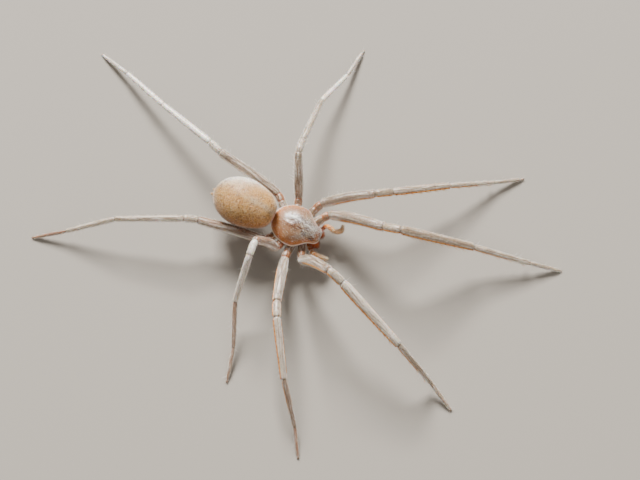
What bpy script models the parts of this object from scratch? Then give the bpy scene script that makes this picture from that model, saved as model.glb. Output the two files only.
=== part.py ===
"""A pale, long-legged cave spider (Otacilia tham) standing with its legs spread: a still life-size model.

The head points along the spider's own forward axis, which PROSOMA_YAW turns from +X in plan.
Left is the spider's left. Driving dimensions are in millimetres and degrees; meshes are in metres.
"""

import math

import bmesh
import bpy
import numpy as np
from mathutils import Matrix, Vector

MM = 0.001
WELD = 1e-7
GAP = 0.04
SHARP_ANGLE = 50.0
UP = Vector((0, 0, 1))

# Carapace: the shield over head and thorax, measured from its broadest place
PROSOMA_YAW = -26.0
CARAPACE_FRONT = 1.10
CARAPACE_REAR = 0.95
CARAPACE_WIDTH = 1.66
CARAPACE_HEIGHT = 0.60
CARAPACE_DEPTH = 0.08
RIM_HEIGHT = 1.16
HEAD_WIDTH_SHARE = 0.58
HEAD_STARTS = 0.16
HEAD_SETTLES = 0.76
REAR_FULLNESS = 0.92
FRONT_FULLNESS = 0.50
REAR_DOME_SHARE = 0.84
HEAD_RISE_SHARE = 0.18
BROW_DROP_SHARE = 0.14
FOVEA_PLACE = -0.22
FOVEA_DEPTH = 0.05
FOVEA_LENGTH = 0.17
FOVEA_WIDTH = 0.09
CARAPACE_SIDES = 32
CARAPACE_RINGS = 22

# Sternum: the shield under the thorax
STERNUM_LENGTH = 1.30
STERNUM_WIDTH = 0.96
STERNUM_TOP = 1.08
STERNUM_BOTTOM = 0.62
STERNUM_FULLNESS = 0.75
STERNUM_REAR_TAPER = 0.22

# Abdomen, its stalk and its spinnerets
ABDOMEN_CENTRE = (-2.03, 0.81, 1.70)
ABDOMEN_YAW = -26.0
ABDOMEN_PITCH = 4.0
ABDOMEN_LENGTH = 2.62
ABDOMEN_WIDTH = 1.96
ABDOMEN_HEIGHT = 1.78
ABDOMEN_FRONT_FULLNESS = 0.68
ABDOMEN_FRONT_TAPER = 0.06
ABDOMEN_SIDES = 32
ABDOMEN_RINGS = 20
PEDICEL_WIDTH = 0.26
PEDICEL_START = (-0.52, 0.0, 0.90)
PEDICEL_END = (-1.21, 0.03, 1.18)
SPINNERET_LENGTH = 0.26
SPINNERET_WIDTH = 0.13
SPINNERET_ROW_STEP = 0.08
SPINNERET_ROW_SHORTER = 0.03
SPINNERET_ASIDE = 0.075
SPINNERET_FLARE = 0.03
SPINNERET_PLACE = (-0.46, 0.0, -0.20)
SPINNERET_DIRECTION = (-0.92, 0.0, -0.38)
SPINNERET_MOUND = ((-0.10, 0.17), (0.08, 0.15))

# Jaws and palps
CHELICERA_LENGTH = 0.80
CHELICERA_WIDTH = 0.40
CHELICERA_TAPER = 0.22
CHELICERA_PLACE = (0.94, 0.222, 0.87)
CHELICERA_PITCH = 72.0
CHELICERA_TOE_IN = 4.0
FANG_START = 0.42
FANG_LENGTH = 0.24
FANG_LIFT = 0.03
FANG_RADII = (0.05, 0.035, 0.01)
FANG_DIRECTION = (-0.5, -0.35, -0.45)
PALP_WIDTH = 0.20
PALP_SHARES = (1.20, 1.20, 0.85, 0.85, 1.0, 0.90, 0.95, 0.45)

# Each palp's route from beside the mouth to its tip: forward, outward and up
PALP_ROUTES = {
    "left": (
        (0.66, 0.15, 0.66), (0.82, 0.33, 0.61), (0.98, 0.52, 0.69), (1.09, 0.61, 0.92),
        (1.32, 0.58, 1.02), (1.48, 0.56, 0.94), (1.70, 0.72, 0.82), (1.66, 0.98, 0.72),
    ),
    "right": (
        (0.66, 0.15, 0.66), (0.82, 0.33, 0.61), (0.98, 0.52, 0.69), (1.06, 0.61, 0.88),
        (1.20, 0.66, 0.92), (1.36, 0.64, 0.82), (1.53, 0.58, 0.66), (1.68, 0.50, 0.50),
    ),
}

# Legs, numbered from the front: lengths from the femur on, and widths from the coxa on
SEGMENTS = ("coxa", "femur", "patella", "tibia", "metatarsus", "tarsus")
SEGMENT_LENGTHS = {
    1: (2.85, 0.75, 3.35, 2.42, 1.35),
    2: (2.46, 0.72, 2.50, 2.04, 1.25),
    3: (2.00, 0.68, 2.26, 1.86, 1.40),
    4: (2.90, 0.60, 2.78, 2.18, 1.42),
}
SEGMENT_WIDTHS = {
    1: (0.37, 0.46, 0.35, 0.40, 0.25, 0.17),
    2: (0.37, 0.41, 0.31, 0.30, 0.20, 0.15),
    3: (0.37, 0.38, 0.28, 0.27, 0.20, 0.15),
    4: (0.36, 0.40, 0.30, 0.27, 0.21, 0.15),
}

# Each segment's points along its middle, and its width shares between its two waists
SEGMENT_POINTS = {"coxa": 8, "femur": 7, "patella": 3, "tibia": 6, "metatarsus": 5, "tarsus": 5}
SEGMENT_PROFILES = {
    "coxa": ((0.45, 1.0), (0.64, 1.0), (0.73, 0.86), (0.82, 0.95)),
    "femur": ((0.08, 0.88), (0.35, 1.0), (0.90, 0.86)),
    "patella": ((0.25, 1.0), (0.75, 1.0)),
    "tibia": ((0.10, 1.0), (0.90, 0.82)),
    "metatarsus": ((0.08, 1.0), (0.92, 0.84)),
    "tarsus": ((0.10, 1.0), (0.80, 0.85)),
}
COXA_ROOT_SHARE = 0.66
COXA_HEIGHT = 0.88
HIP_HEIGHT = 1.00
FEMUR_BOW = {1: 0.05, 2: 0.05, 3: 0.05, 4: 0.02}
CORNER_REACH = 0.30
CORNER_SHARES = (0.75, 1.0)
CORNER_FIRST_STEP = 0.05
JOINT_WAIST = 0.80
TIP_WIDTH = 0.09
FOOT_SINK = 0.45
LEG_RESOLUTION = 3
SMALL_RESOLUTION = 1

# Where each coxa leaves the sternum, as forward and outward shares of the sternum's half sizes
COXA_ROOTS = {1: (0.66, 0.36), 2: (0.26, 0.66), 3: (-0.20, 0.68), 4: (-0.62, 0.42)}

# The pose in plan: where each femur starts, measured from the carapace's broadest place
FEMUR_BASES = {
    ("left", 1): (1.36, 0.56),
    ("left", 2): (1.03, 1.01),
    ("left", 3): (0.15, 1.22),
    ("left", 4): (-0.65, 1.42),
    ("right", 1): (0.24, -1.35),
    ("right", 2): (-0.42, -1.31),
    ("right", 3): (-0.73, -0.86),
    ("right", 4): (-1.14, -0.55),
}

# The headings of femur, patella, tibia, metatarsus and tarsus in plan
SEGMENT_HEADINGS = {
    ("left", 1): (-25, -19, -4, -11, -9),
    ("left", 2): (1, 9, 13, 13, 12),
    ("left", 3): (91, 72, 69, 52, 61),
    ("left", 4): (147, 133, 136, 134, 138),
    ("right", 1): (-47, -39, -46, -39, -52),
    ("right", 2): (-98, -90, -83, -75, -84),
    ("right", 3): (-165, -109, -113, -92, -101),
    ("right", 4): (165, 183, 178, 187, 186),
}

# The heights of the joints at the far ends of femur, patella, tibia and metatarsus
JOINT_HEIGHTS = {
    ("left", 1): (2.50, 2.80, 1.20, 0.45),
    ("left", 2): (2.15, 2.00, 1.20, 0.35),
    ("left", 3): (2.25, 2.00, 1.15, 0.40),
    ("left", 4): (1.70, 1.68, 0.90, 0.38),
    ("right", 1): (3.35, 3.05, 2.20, 0.45),
    ("right", 2): (2.15, 2.30, 1.60, 0.40),
    ("right", 3): (2.80, 2.80, 1.15, 0.40),
    ("right", 4): (1.42, 1.66, 1.30, 0.45),
}

# Paired spines under the front legs: how many pairs, and how long they are
SPINES = {
    (1, "tibia"): (8, 0.46),
    (1, "metatarsus"): (4, 0.38),
    (2, "tibia"): (6, 0.40),
    (2, "metatarsus"): (4, 0.32),
}
SPINE_WIDTH = 0.056
SPINE_TIP_WIDTH = 0.012
SPINE_SIDES = 4
SPINE_LEAN = 60.0
SPINE_SPLAY = 20.0
SPINE_STRETCH = (0.14, 0.84)
SPINE_SUNK_SHARE = 0.30

# Base colour and roughness of each sub-part's material
COLOURS = {
    "carapace": ((0.72, 0.46, 0.25, 1.0), 0.35),
    "sternum": ((0.74, 0.50, 0.30, 1.0), 0.40),
    "abdomen": ((0.76, 0.64, 0.47, 1.0), 0.55),
    "pedicel": ((0.66, 0.42, 0.24, 1.0), 0.45),
    "spinnerets": ((0.80, 0.72, 0.58, 1.0), 0.50),
    "chelicera": ((0.60, 0.25, 0.07, 1.0), 0.30),
    "palp": ((0.70, 0.42, 0.22, 1.0), 0.40),
    "coxa": ((0.74, 0.52, 0.34, 1.0), 0.40),
    "femur": ((0.74, 0.67, 0.57, 1.0), 0.40),
    "patella": ((0.76, 0.70, 0.61, 1.0), 0.40),
    "tibia": ((0.77, 0.71, 0.62, 1.0), 0.40),
    "metatarsus": ((0.72, 0.60, 0.49, 1.0), 0.45),
    "tarsus": ((0.68, 0.55, 0.45, 1.0), 0.45),
}


def clear_scene():
    for item in list(bpy.data.objects):
        bpy.data.objects.remove(item, do_unlink=True)


def new_collection(name):
    collection = bpy.data.collections.new(name)
    bpy.context.scene.collection.children.link(collection)
    return collection


def make_material(name):
    colour, roughness = COLOURS[name]
    material = bpy.data.materials.new(name)
    material.use_nodes = True
    shader = material.node_tree.nodes["Principled BSDF"]
    shader.inputs["Base Color"].default_value = colour
    shader.inputs["Roughness"].default_value = roughness
    shader.inputs["Metallic"].default_value = 0.0
    return material


def add_object(name, data, parent=None):
    item = bpy.data.objects.new(name, data)
    PARTS.objects.link(item)
    item.parent = parent
    return item


def finish_part(item, material):
    item.data.materials.clear()
    item.data.materials.append(MATERIALS[material])
    item.data.shade_smooth()
    item.data.set_sharp_from_angle(angle=math.radians(SHARP_ANGLE))


def world_mesh(item):
    """The object's evaluated mesh, with its doubled points welded."""
    bpy.context.view_layer.update()
    evaluated = item.evaluated_get(bpy.context.evaluated_depsgraph_get())
    mesh = bpy.data.meshes.new_from_object(evaluated)
    work = bmesh.new()
    work.from_mesh(mesh)
    bmesh.ops.remove_doubles(work, verts=work.verts, dist=WELD)
    bmesh.ops.recalc_face_normals(work, faces=work.faces)
    work.to_mesh(mesh)
    work.free()
    return mesh


def closed_surfaces(work):
    """The mesh's faces in connected groups, the smallest group first."""
    left = set(work.faces)
    groups = []
    while left:
        group = {left.pop()}
        waiting = list(group)
        while waiting:
            face = waiting.pop()
            for near in (f for edge in face.edges for f in edge.link_faces):
                if near in left:
                    left.remove(near)
                    group.add(near)
                    waiting.append(near)
        groups.append(group)
    return sorted(groups, key=lambda faces: sum(f.calc_area() for f in faces))


def keep_largest(item):
    """Keeps only the largest closed surface of a mesh."""
    work = bmesh.new()
    work.from_mesh(item.data)
    bmesh.ops.remove_doubles(work, verts=work.verts, dist=WELD)
    scraps = [face for group in closed_surfaces(work)[:-1] for face in group]
    bmesh.ops.delete(work, geom=scraps, context="FACES")
    loose = [v for v in work.verts if not v.link_faces]
    bmesh.ops.delete(work, geom=loose, context="VERTS")
    work.to_mesh(item.data)
    work.free()


def apply_boolean(item, operation, cutters):
    """Applies one EXACT Boolean of all cutters to the item, then removes the cutters."""
    group = new_collection("cutters")
    for cutter in cutters:
        PARTS.objects.unlink(cutter)
        group.objects.link(cutter)
        cutter.hide_render = True
        cutter.display_type = "WIRE"
    modifier = item.modifiers.new(operation.lower(), "BOOLEAN")
    modifier.operation = operation
    modifier.operand_type = "COLLECTION"
    modifier.collection = group
    modifier.solver = "EXACT"
    mesh = world_mesh(item)
    item.modifiers.clear()
    item.data = mesh
    for cutter in cutters:
        bpy.data.objects.remove(cutter, do_unlink=True)
    bpy.data.collections.remove(group)
    keep_largest(item)


def swollen_copy(item, margin):
    """A cutter with the item's shape, grown by a margin all round."""
    mesh = world_mesh(item)
    work = bmesh.new()
    work.from_mesh(mesh)
    work.normal_update()
    shifts = [v.normal * margin for v in work.verts]
    for vertex, shift in zip(work.verts, shifts):
        vertex.co += shift
    work.to_mesh(mesh)
    work.free()
    cutter = add_object("cutter", mesh)
    cutter.matrix_world = item.matrix_world.copy()
    return cutter


def trim(item, *neighbours):
    """Cuts a piece back where it reaches into its neighbours, with the gap between them."""
    bpy.context.view_layer.update()
    apply_boolean(item, "DIFFERENCE", [swollen_copy(n, GAP * MM) for n in neighbours])


def tube(name, points, radii, parent=None, resolution=LEG_RESOLUTION):
    """A closed tube through points in millimetres, with a radius at each and its origin at the first."""
    origin = points[0]
    curve = bpy.data.curves.new(name, "CURVE")
    curve.dimensions = "3D"
    curve.bevel_depth = MM
    curve.bevel_resolution = resolution
    curve.use_fill_caps = True
    spline = curve.splines.new("POLY")
    spline.points.add(len(points) - 1)
    for knot, point, radius in zip(spline.points, points, radii):
        knot.co = (*((point - origin) * MM), 1.0)
        knot.radius = radius
    guide = add_object(name + "_guide", curve)
    mesh = world_mesh(guide)
    bpy.data.objects.remove(guide, do_unlink=True)
    item = add_object(name, mesh, parent)
    item.location = origin * MM
    return item


def shaped_ball(name, shape, sides, rings, parent, location):
    """A unit sphere with its poles along X, moved point by point by a shape function in millimetres."""
    work = bmesh.new()
    bmesh.ops.create_uvsphere(work, u_segments=sides, v_segments=rings, radius=1.0)
    bmesh.ops.rotate(work, verts=work.verts, matrix=Matrix.Rotation(math.radians(90), 3, "Y"))
    for vertex in work.verts:
        ring = max(WELD, math.hypot(vertex.co.y, vertex.co.z))
        across, up = vertex.co.y / ring, vertex.co.z / ring
        vertex.co = Vector(shape(vertex.co.x, ring, across, up)) * MM
    bmesh.ops.recalc_face_normals(work, faces=work.faces)
    mesh = bpy.data.meshes.new(name)
    work.to_mesh(mesh)
    work.free()
    item = add_object(name, mesh, parent)
    item.location = Vector(location) * MM
    return item


def step(value, low, high):
    """A smooth rise from 0 to 1 between low and high."""
    share = min(1.0, max(0.0, (value - low) / (high - low)))
    return share * share * (3.0 - 2.0 * share)


def carapace_shape(x, ring, across, up):
    """Round behind, narrower and blunt at the head, with a domed top and a nearly flat underside."""
    fullness = REAR_FULLNESS + (FRONT_FULLNESS - REAR_FULLNESS) * step(x, HEAD_STARTS, 1.0)
    full = ring ** fullness
    narrow = 1.0 - (1.0 - HEAD_WIDTH_SHARE) * step(x, HEAD_STARTS, HEAD_SETTLES)
    half_width = 0.5 * CARAPACE_WIDTH * narrow * full
    forward = (CARAPACE_FRONT if x > 0 else CARAPACE_REAR) * x
    if up <= 0:
        return forward, half_width * across, CARAPACE_DEPTH * full * up
    rise = HEAD_RISE_SHARE * step(x, -0.75, 0.15) - BROW_DROP_SHARE * step(x, 0.35, 1.0)
    height = CARAPACE_HEIGHT * full * (REAR_DOME_SHARE + rise) * up
    along_fovea = (x - FOVEA_PLACE) / FOVEA_LENGTH
    across_fovea = across * half_width / FOVEA_WIDTH
    dent = FOVEA_DEPTH * math.exp(-along_fovea ** 2 - across_fovea ** 2)
    return forward, half_width * across, height - dent


def sternum_shape(x, ring, across, up):
    """A shield, broad in the middle and blunt in front, lens-shaped from the side."""
    full = ring ** STERNUM_FULLNESS
    taper = 1.0 - STERNUM_REAR_TAPER * step(-x, 0.1, 0.9)
    return (
        0.5 * STERNUM_LENGTH * x,
        0.5 * STERNUM_WIDTH * taper * full * across,
        0.5 * (STERNUM_TOP - STERNUM_BOTTOM) * full * up,
    )


def abdomen_shape(x, ring, across, up):
    """An egg, narrower and blunter in front."""
    front = step(x, -0.2, 0.9)
    full = ring ** (1.0 + (ABDOMEN_FRONT_FULLNESS - 1.0) * front)
    narrow = 1.0 - ABDOMEN_FRONT_TAPER * front
    return (
        0.5 * ABDOMEN_LENGTH * x,
        0.5 * ABDOMEN_WIDTH * narrow * full * across,
        0.5 * ABDOMEN_HEIGHT * narrow * full * up,
    )


def chelicera_shape(x, ring, across, up):
    """The basal joint of a jaw: stout near the head, narrower at the fang, deeper than it is wide."""
    half = 0.5 * CHELICERA_WIDTH * (1.0 - CHELICERA_TAPER * step(x, 0.0, 1.0))
    return 0.5 * CHELICERA_LENGTH * x, half * ring * across, 1.15 * half * ring * up


def spider_axes(forward, left, up):
    """A point or direction given in the spider's own axes, in the model's directions."""
    turn = Matrix.Rotation(math.radians(PROSOMA_YAW), 3, "Z")
    return turn @ Vector((forward, left, up))


def corner_points(before, corner, after):
    """The far half of a rounded corner, from just past its middle to where the next run is straight."""
    first, last = corner + before * CORNER_REACH, corner + after * CORNER_REACH
    start = 0.5 + 0.5 * GAP / (last - first).length
    for share in (start, start + CORNER_FIRST_STEP, *CORNER_SHARES):
        yield first * (1 - share) ** 2 + corner * 2 * share * (1 - share) + last * share ** 2


def run_points(joints, index, bow, count):
    """One leg segment's centre line, from rounded corner to rounded corner, and each point's share."""
    start, end = joints[index], joints[index + 1]
    along = (end - start).normalized()
    reach = (end - start).length
    upward = (UP - along * along.z).normalized()
    head, tail = [start], [end]
    low, high = 0.0, 1.0
    if index > 0:
        back = (joints[index - 1] - start).normalized()
        head = list(corner_points(back, start, along))
        low = CORNER_REACH / reach
    if index + 2 < len(joints):
        onward = (joints[index + 2] - end).normalized()
        tail = list(corner_points(onward, end, -along))[::-1]
        high = 1.0 - CORNER_REACH / reach
    straight = max(high - low, WELD)
    middle = []
    for place in np.linspace(low, high, count)[1:-1]:
        hump = 4.0 * (place - low) * (high - place) / straight ** 2
        middle.append(start + along * reach * place + upward * bow * reach * hump)
    points = head + middle + tail
    walked = np.cumsum([0.0] + [(b - a).length for a, b in zip(points, points[1:])])
    return points, walked / walked[-1]


def leg_joints(side, number):
    """The seven joint places of one leg, from the sternum to the tip of the tarsus."""
    forward, out = COXA_ROOTS[number]
    sign = 1.0 if side == "left" else -1.0
    root = spider_axes(0.5 * STERNUM_LENGTH * forward, sign * 0.5 * STERNUM_WIDTH * out, COXA_HEIGHT)
    place = Vector((*FEMUR_BASES[side, number], HIP_HEIGHT))
    joints = [root, place]
    tip_height = 0.5 * TIP_WIDTH * (1.0 - FOOT_SINK)
    heights = (*JOINT_HEIGHTS[side, number], tip_height)
    for length, heading, height in zip(SEGMENT_LENGTHS[number], SEGMENT_HEADINGS[side, number], heights):
        rise = height - place.z
        plan = math.sqrt(length ** 2 - rise ** 2)
        turn = math.radians(heading)
        place = place + Vector((plan * math.cos(turn), plan * math.sin(turn), rise))
        joints.append(place)
    return joints


def joint_radius(widths, index):
    """The waist between segment index - 1 and segment index."""
    return 0.5 * JOINT_WAIST * min(widths[index - 1], widths[index])


def segment_radii(kind, widths, index, shares):
    """A segment's radius at each share of its length, swelling between its waists."""
    full = 0.5 * widths[index]
    start = joint_radius(widths, index) if index > 0 else COXA_ROOT_SHARE * full
    end = joint_radius(widths, index + 1) if index + 1 < len(widths) else 0.5 * TIP_WIDTH
    knots = [0.0] + [knot for knot, share in SEGMENT_PROFILES[kind]] + [1.0]
    values = [start] + [share * full for knot, share in SEGMENT_PROFILES[kind]] + [end]
    return np.interp(shares, knots, values)


def make_spine(place, direction, length):
    """One tapered spine as a thin cone that stands on a place."""
    work = bmesh.new()
    bmesh.ops.create_cone(
        work, cap_ends=True, segments=SPINE_SIDES, radius1=0.5 * SPINE_WIDTH * MM,
        radius2=0.5 * SPINE_TIP_WIDTH * MM, depth=length * MM,
    )
    bmesh.ops.translate(work, verts=work.verts, vec=(0, 0, 0.5 * length * MM))
    mesh = bpy.data.meshes.new("spine")
    work.to_mesh(mesh)
    work.free()
    item = add_object("spine", mesh)
    turn = direction.to_track_quat("Z", "Y").to_matrix().to_4x4()
    item.matrix_world = Matrix.Translation(place * MM) @ turn
    return item


def add_spines(item, kind, number, start, end, width):
    """Two rows of spines under a front leg's segment, leaning towards its tip, with sunk roots."""
    pairs, length = SPINES[number, kind]
    along = (end - start).normalized()
    under = -(UP - along * along.z).normalized()
    aside = along.cross(under)
    lean = math.radians(SPINE_LEAN)
    sunk = SPINE_SUNK_SHARE * width
    spines = []
    for share in np.linspace(*SPINE_STRETCH, pairs):
        for sign in (-1.0, 1.0):
            splay = math.radians(SPINE_SPLAY) * sign
            outward = under * math.cos(splay) + aside * math.sin(splay)
            direction = outward * math.cos(lean) + along * math.sin(lean)
            root = start.lerp(end, share) + outward * 0.5 * sunk
            spines.append(make_spine(root, direction, length + sunk))
    apply_boolean(item, "UNION", spines)


def cut_foot(item):
    """Cuts the tarsus flat where it would reach below the floor."""
    work = bmesh.new()
    work.from_mesh(item.data)
    everything = work.verts[:] + work.edges[:] + work.faces[:]
    cut = bmesh.ops.bisect_plane(
        work, geom=everything, dist=WELD * 0.1,
        plane_co=(0, 0, -item.location.z), plane_no=(0, 0, -1), clear_outer=True,
    )
    rim = [e for e in cut["geom_cut"] if isinstance(e, bmesh.types.BMEdge)]
    bmesh.ops.edgeloop_fill(work, edges=rim)
    bmesh.ops.recalc_face_normals(work, faces=work.faces)
    work.to_mesh(item.data)
    work.free()


def build_leg(side, number, parent, sternum, carapace):
    joints = leg_joints(side, number)
    widths = SEGMENT_WIDTHS[number]
    for index, kind in enumerate(SEGMENTS):
        bow = FEMUR_BOW[number] if kind == "femur" else 0.0
        points, shares = run_points(joints, index, bow, SEGMENT_POINTS[kind])
        radii = segment_radii(kind, widths, index, shares)
        item = tube(f"leg_{side}_{number}_{kind}", points, radii, parent)
        if kind == "coxa":
            trim(item, sternum, carapace)
        if (number, kind) in SPINES:
            add_spines(item, kind, number, joints[index], joints[index + 1], widths[index])
        if kind == "tarsus":
            cut_foot(item)
        finish_part(item, kind)


def build_prosoma(parent):
    """The carapace and the sternum, on a frame that is turned to the spider's heading."""
    frame = add_object("prosoma_frame", None, parent)
    frame.rotation_euler.z = math.radians(PROSOMA_YAW)
    place = (0, 0, RIM_HEIGHT)
    carapace = shaped_ball("carapace", carapace_shape, CARAPACE_SIDES, CARAPACE_RINGS, frame, place)
    place = (0, 0, 0.5 * (STERNUM_TOP + STERNUM_BOTTOM))
    sternum = shaped_ball("sternum", sternum_shape, 16, 12, frame, place)
    trim(sternum, carapace)
    finish_part(carapace, "carapace")
    finish_part(sternum, "sternum")
    return frame, carapace, sternum


def build_abdomen(parent):
    abdomen = shaped_ball("abdomen", abdomen_shape, ABDOMEN_SIDES, ABDOMEN_RINGS, parent, ABDOMEN_CENTRE)
    abdomen.rotation_euler = (0, math.radians(-ABDOMEN_PITCH), math.radians(ABDOMEN_YAW))
    finish_part(abdomen, "abdomen")
    return abdomen


def build_pedicel(parent, sternum, carapace, abdomen):
    """The narrow stalk from the sternum's rear up into the hollow between carapace and abdomen."""
    start, end = spider_axes(*PEDICEL_START), spider_axes(*PEDICEL_END)
    points = [start.lerp(end, share) for share in np.linspace(0, 1, 5)]
    radii = [0.5 * PEDICEL_WIDTH] * len(points)
    item = tube("pedicel", points, radii, parent)
    trim(item, sternum, carapace, abdomen)
    finish_part(item, "pedicel")


def build_spinnerets(parent, abdomen):
    """Three pairs of short finger-like spinnerets on a low mound under the abdomen's rear end."""
    bpy.context.view_layer.update()
    size = Vector((ABDOMEN_LENGTH, ABDOMEN_WIDTH, ABDOMEN_HEIGHT)) * MM
    centre = abdomen.matrix_world @ (Vector(SPINNERET_PLACE) * size) / MM
    back = spider_axes(*SPINNERET_DIRECTION).normalized()
    across = spider_axes(0.0, 1.0, 0.0)
    down = back.cross(across)
    mound_points = [centre + back * place for place, radius in SPINNERET_MOUND]
    mound_radii = [radius for place, radius in SPINNERET_MOUND]
    item = tube("spinnerets", mound_points, mound_radii, parent)
    fingers = []
    for row in range(3):
        for sign in (-1.0, 1.0):
            aside = across * SPINNERET_ASIDE * sign
            start = centre + aside + down * SPINNERET_ROW_STEP * (row - 1)
            length = SPINNERET_LENGTH - SPINNERET_ROW_SHORTER * row
            end = start + back * length + across * SPINNERET_FLARE * sign
            radii = [share * SPINNERET_WIDTH for share in (0.5, 0.42, 0.2)]
            fingers.append(tube("finger", [start, start.lerp(end, 0.8), end], radii, None, SMALL_RESOLUTION))
    apply_boolean(item, "UNION", fingers)
    trim(item, abdomen)
    finish_part(item, "spinnerets")


def build_chelicera(side, frame, carapace, sternum):
    """One jaw, hanging forward and down from the front of the head, with its fang folded inward."""
    sign = 1.0 if side == "left" else -1.0
    forward, out, up = CHELICERA_PLACE
    place = (forward, sign * out, up)
    item = shaped_ball(f"chelicera_{side}", chelicera_shape, 12, 8, frame, place)
    item.rotation_euler = (0, math.radians(CHELICERA_PITCH), math.radians(CHELICERA_TOE_IN) * sign)
    bpy.context.view_layer.update()
    tip = item.matrix_world @ Vector((FANG_START * CHELICERA_LENGTH * MM, 0, 0)) / MM
    back, inward, down = FANG_DIRECTION
    reach = spider_axes(back, sign * inward, down).normalized() * FANG_LENGTH
    points = [tip, tip.lerp(tip + reach, 0.6), tip + reach + UP * FANG_LIFT]
    fang = tube("fang", points, FANG_RADII, None, SMALL_RESOLUTION)
    apply_boolean(item, "UNION", [fang])
    trim(item, carapace, sternum)
    finish_part(item, "chelicera")
    return item


def build_palp(side, parent, neighbours):
    """One palp: its broad root beside the mouth, then out and forward like a short slender leg."""
    sign = 1.0 if side == "left" else -1.0
    points = [spider_axes(forward, sign * out, up) for forward, out, up in PALP_ROUTES[side]]
    radii = [0.5 * PALP_WIDTH * share for share in PALP_SHARES]
    item = tube(f"palp_{side}", points, radii, parent)
    trim(item, *neighbours)
    finish_part(item, "palp")


def centre_on_floor(root):
    """Moves the root so that the middle of the model's box stands over the origin."""
    bpy.context.view_layer.update()
    corners = np.array([
        item.matrix_world @ vertex.co
        for item in PARTS.objects if item.type == "MESH"
        for vertex in item.data.vertices
    ])
    middle = 0.5 * (corners.min(axis=0) + corners.max(axis=0))
    root.location.x -= middle[0]
    root.location.y -= middle[1]
    bpy.context.view_layer.update()


def build_spider():
    root = add_object("spider_root", None)
    frame, carapace, sternum = build_prosoma(root)
    abdomen = build_abdomen(root)
    build_pedicel(root, sternum, carapace, abdomen)
    build_spinnerets(root, abdomen)
    jaws = [build_chelicera(side, frame, carapace, sternum) for side in ("left", "right")]
    for side in ("left", "right"):
        build_palp(side, root, [carapace, sternum, *jaws])
        for number in SEGMENT_LENGTHS:
            build_leg(side, number, root, sternum, carapace)
    centre_on_floor(root)


clear_scene()
PARTS = new_collection("cave_spider")
MATERIALS = {name: make_material(name) for name in COLOURS}
build_spider()
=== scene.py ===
"""The looks of a pale cave spider: its skins, plates, spines, setae and claws, on a plain pale floor.

Every shape is worked out in millimetres from the carapace's broadest place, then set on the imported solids.
Skins are grids of points: rings along a part, and the same number of sides around it.
"""

import math
from collections import namedtuple

import bpy
import numpy as np
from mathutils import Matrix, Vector


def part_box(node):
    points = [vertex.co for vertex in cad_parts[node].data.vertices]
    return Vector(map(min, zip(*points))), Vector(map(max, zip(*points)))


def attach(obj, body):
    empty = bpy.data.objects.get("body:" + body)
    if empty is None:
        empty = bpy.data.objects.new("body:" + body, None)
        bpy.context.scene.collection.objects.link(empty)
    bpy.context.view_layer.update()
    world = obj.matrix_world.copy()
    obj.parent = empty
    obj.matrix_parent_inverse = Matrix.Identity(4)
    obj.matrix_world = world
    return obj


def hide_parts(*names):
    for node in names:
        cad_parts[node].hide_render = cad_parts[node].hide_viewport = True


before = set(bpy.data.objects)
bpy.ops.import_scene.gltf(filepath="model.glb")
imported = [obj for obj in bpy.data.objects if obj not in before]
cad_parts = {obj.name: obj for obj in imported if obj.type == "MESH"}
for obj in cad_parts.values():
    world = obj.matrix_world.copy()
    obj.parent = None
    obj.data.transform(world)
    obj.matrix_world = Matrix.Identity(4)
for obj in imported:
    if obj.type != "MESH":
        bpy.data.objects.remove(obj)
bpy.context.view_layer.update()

MM = 0.001
UP = np.array([0.0, 0.0, 1.0])

# Sizes and places of the body's parts
PROSOMA_YAW = -26.0
CARAPACE_FRONT = 1.10
CARAPACE_REAR = 0.95
CARAPACE_WIDTH = 1.66
CARAPACE_HEIGHT = 0.60
CARAPACE_DEPTH = 0.08
RIM_HEIGHT = 1.16
HEAD_WIDTH_SHARE = 0.58
HEAD_STARTS = 0.16
HEAD_SETTLES = 0.76
REAR_FULLNESS = 0.92
FRONT_FULLNESS = 0.50
REAR_DOME_SHARE = 0.84
HEAD_RISE_SHARE = 0.18
BROW_DROP_SHARE = 0.14
FOVEA_PLACE = -0.22
FOVEA_DEPTH = 0.05
FOVEA_LENGTH = 0.17
FOVEA_WIDTH = 0.09
SOLID_SIDES = 32
SOLID_RINGS = 22
STERNUM_LENGTH = 1.30
STERNUM_WIDTH = 0.96
STERNUM_TOP = 1.08
STERNUM_BOTTOM = 0.62
STERNUM_FULLNESS = 0.75
STERNUM_REAR_TAPER = 0.22
ABDOMEN_CENTRE = (-2.03, 0.81, 1.70)
ABDOMEN_YAW = -26.0
ABDOMEN_PITCH = 4.0
ABDOMEN_LENGTH = 2.62
ABDOMEN_WIDTH = 1.96
ABDOMEN_HEIGHT = 1.78
ABDOMEN_FRONT_FULLNESS = 0.68
ABDOMEN_FRONT_TAPER = 0.06
PEDICEL_WIDTH = 0.26
PEDICEL_START = (-0.52, 0.0, 0.90)
PEDICEL_END = (-1.21, 0.03, 1.18)
PEDICEL_FOLDS = 6
SPINNERET_LENGTH = 0.26
SPINNERET_WIDTH = 0.13
SPINNERET_ROW_STEP = 0.08
SPINNERET_ROW_SHORTER = 0.03
SPINNERET_ASIDE = 0.075
SPINNERET_FLARE = 0.03
SPINNERET_PLACE = (-0.46, 0.0, -0.20)
SPINNERET_DIRECTION = (-0.92, 0.0, -0.38)
SPINNERET_PROFILE = ((0.0, 0.5), (0.6, 0.46), (0.70, 0.36), (0.76, 0.37), (0.92, 0.30), (1.0, 0.12))
MOUND_RADIUS = 0.17
CHELICERA_LENGTH = 0.80
CHELICERA_WIDTH = 0.40
CHELICERA_TAPER = 0.22
CHELICERA_PLACE = (0.94, 0.222, 0.87)
CHELICERA_PITCH = 72.0
CHELICERA_TOE_IN = 4.0
FANG_START = 0.42
FANG_LENGTH = 0.24
FANG_RADIUS = 0.05
FANG_DIRECTION = (-0.5, -0.35, -0.45)
PALP_WIDTH = 0.20
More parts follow.
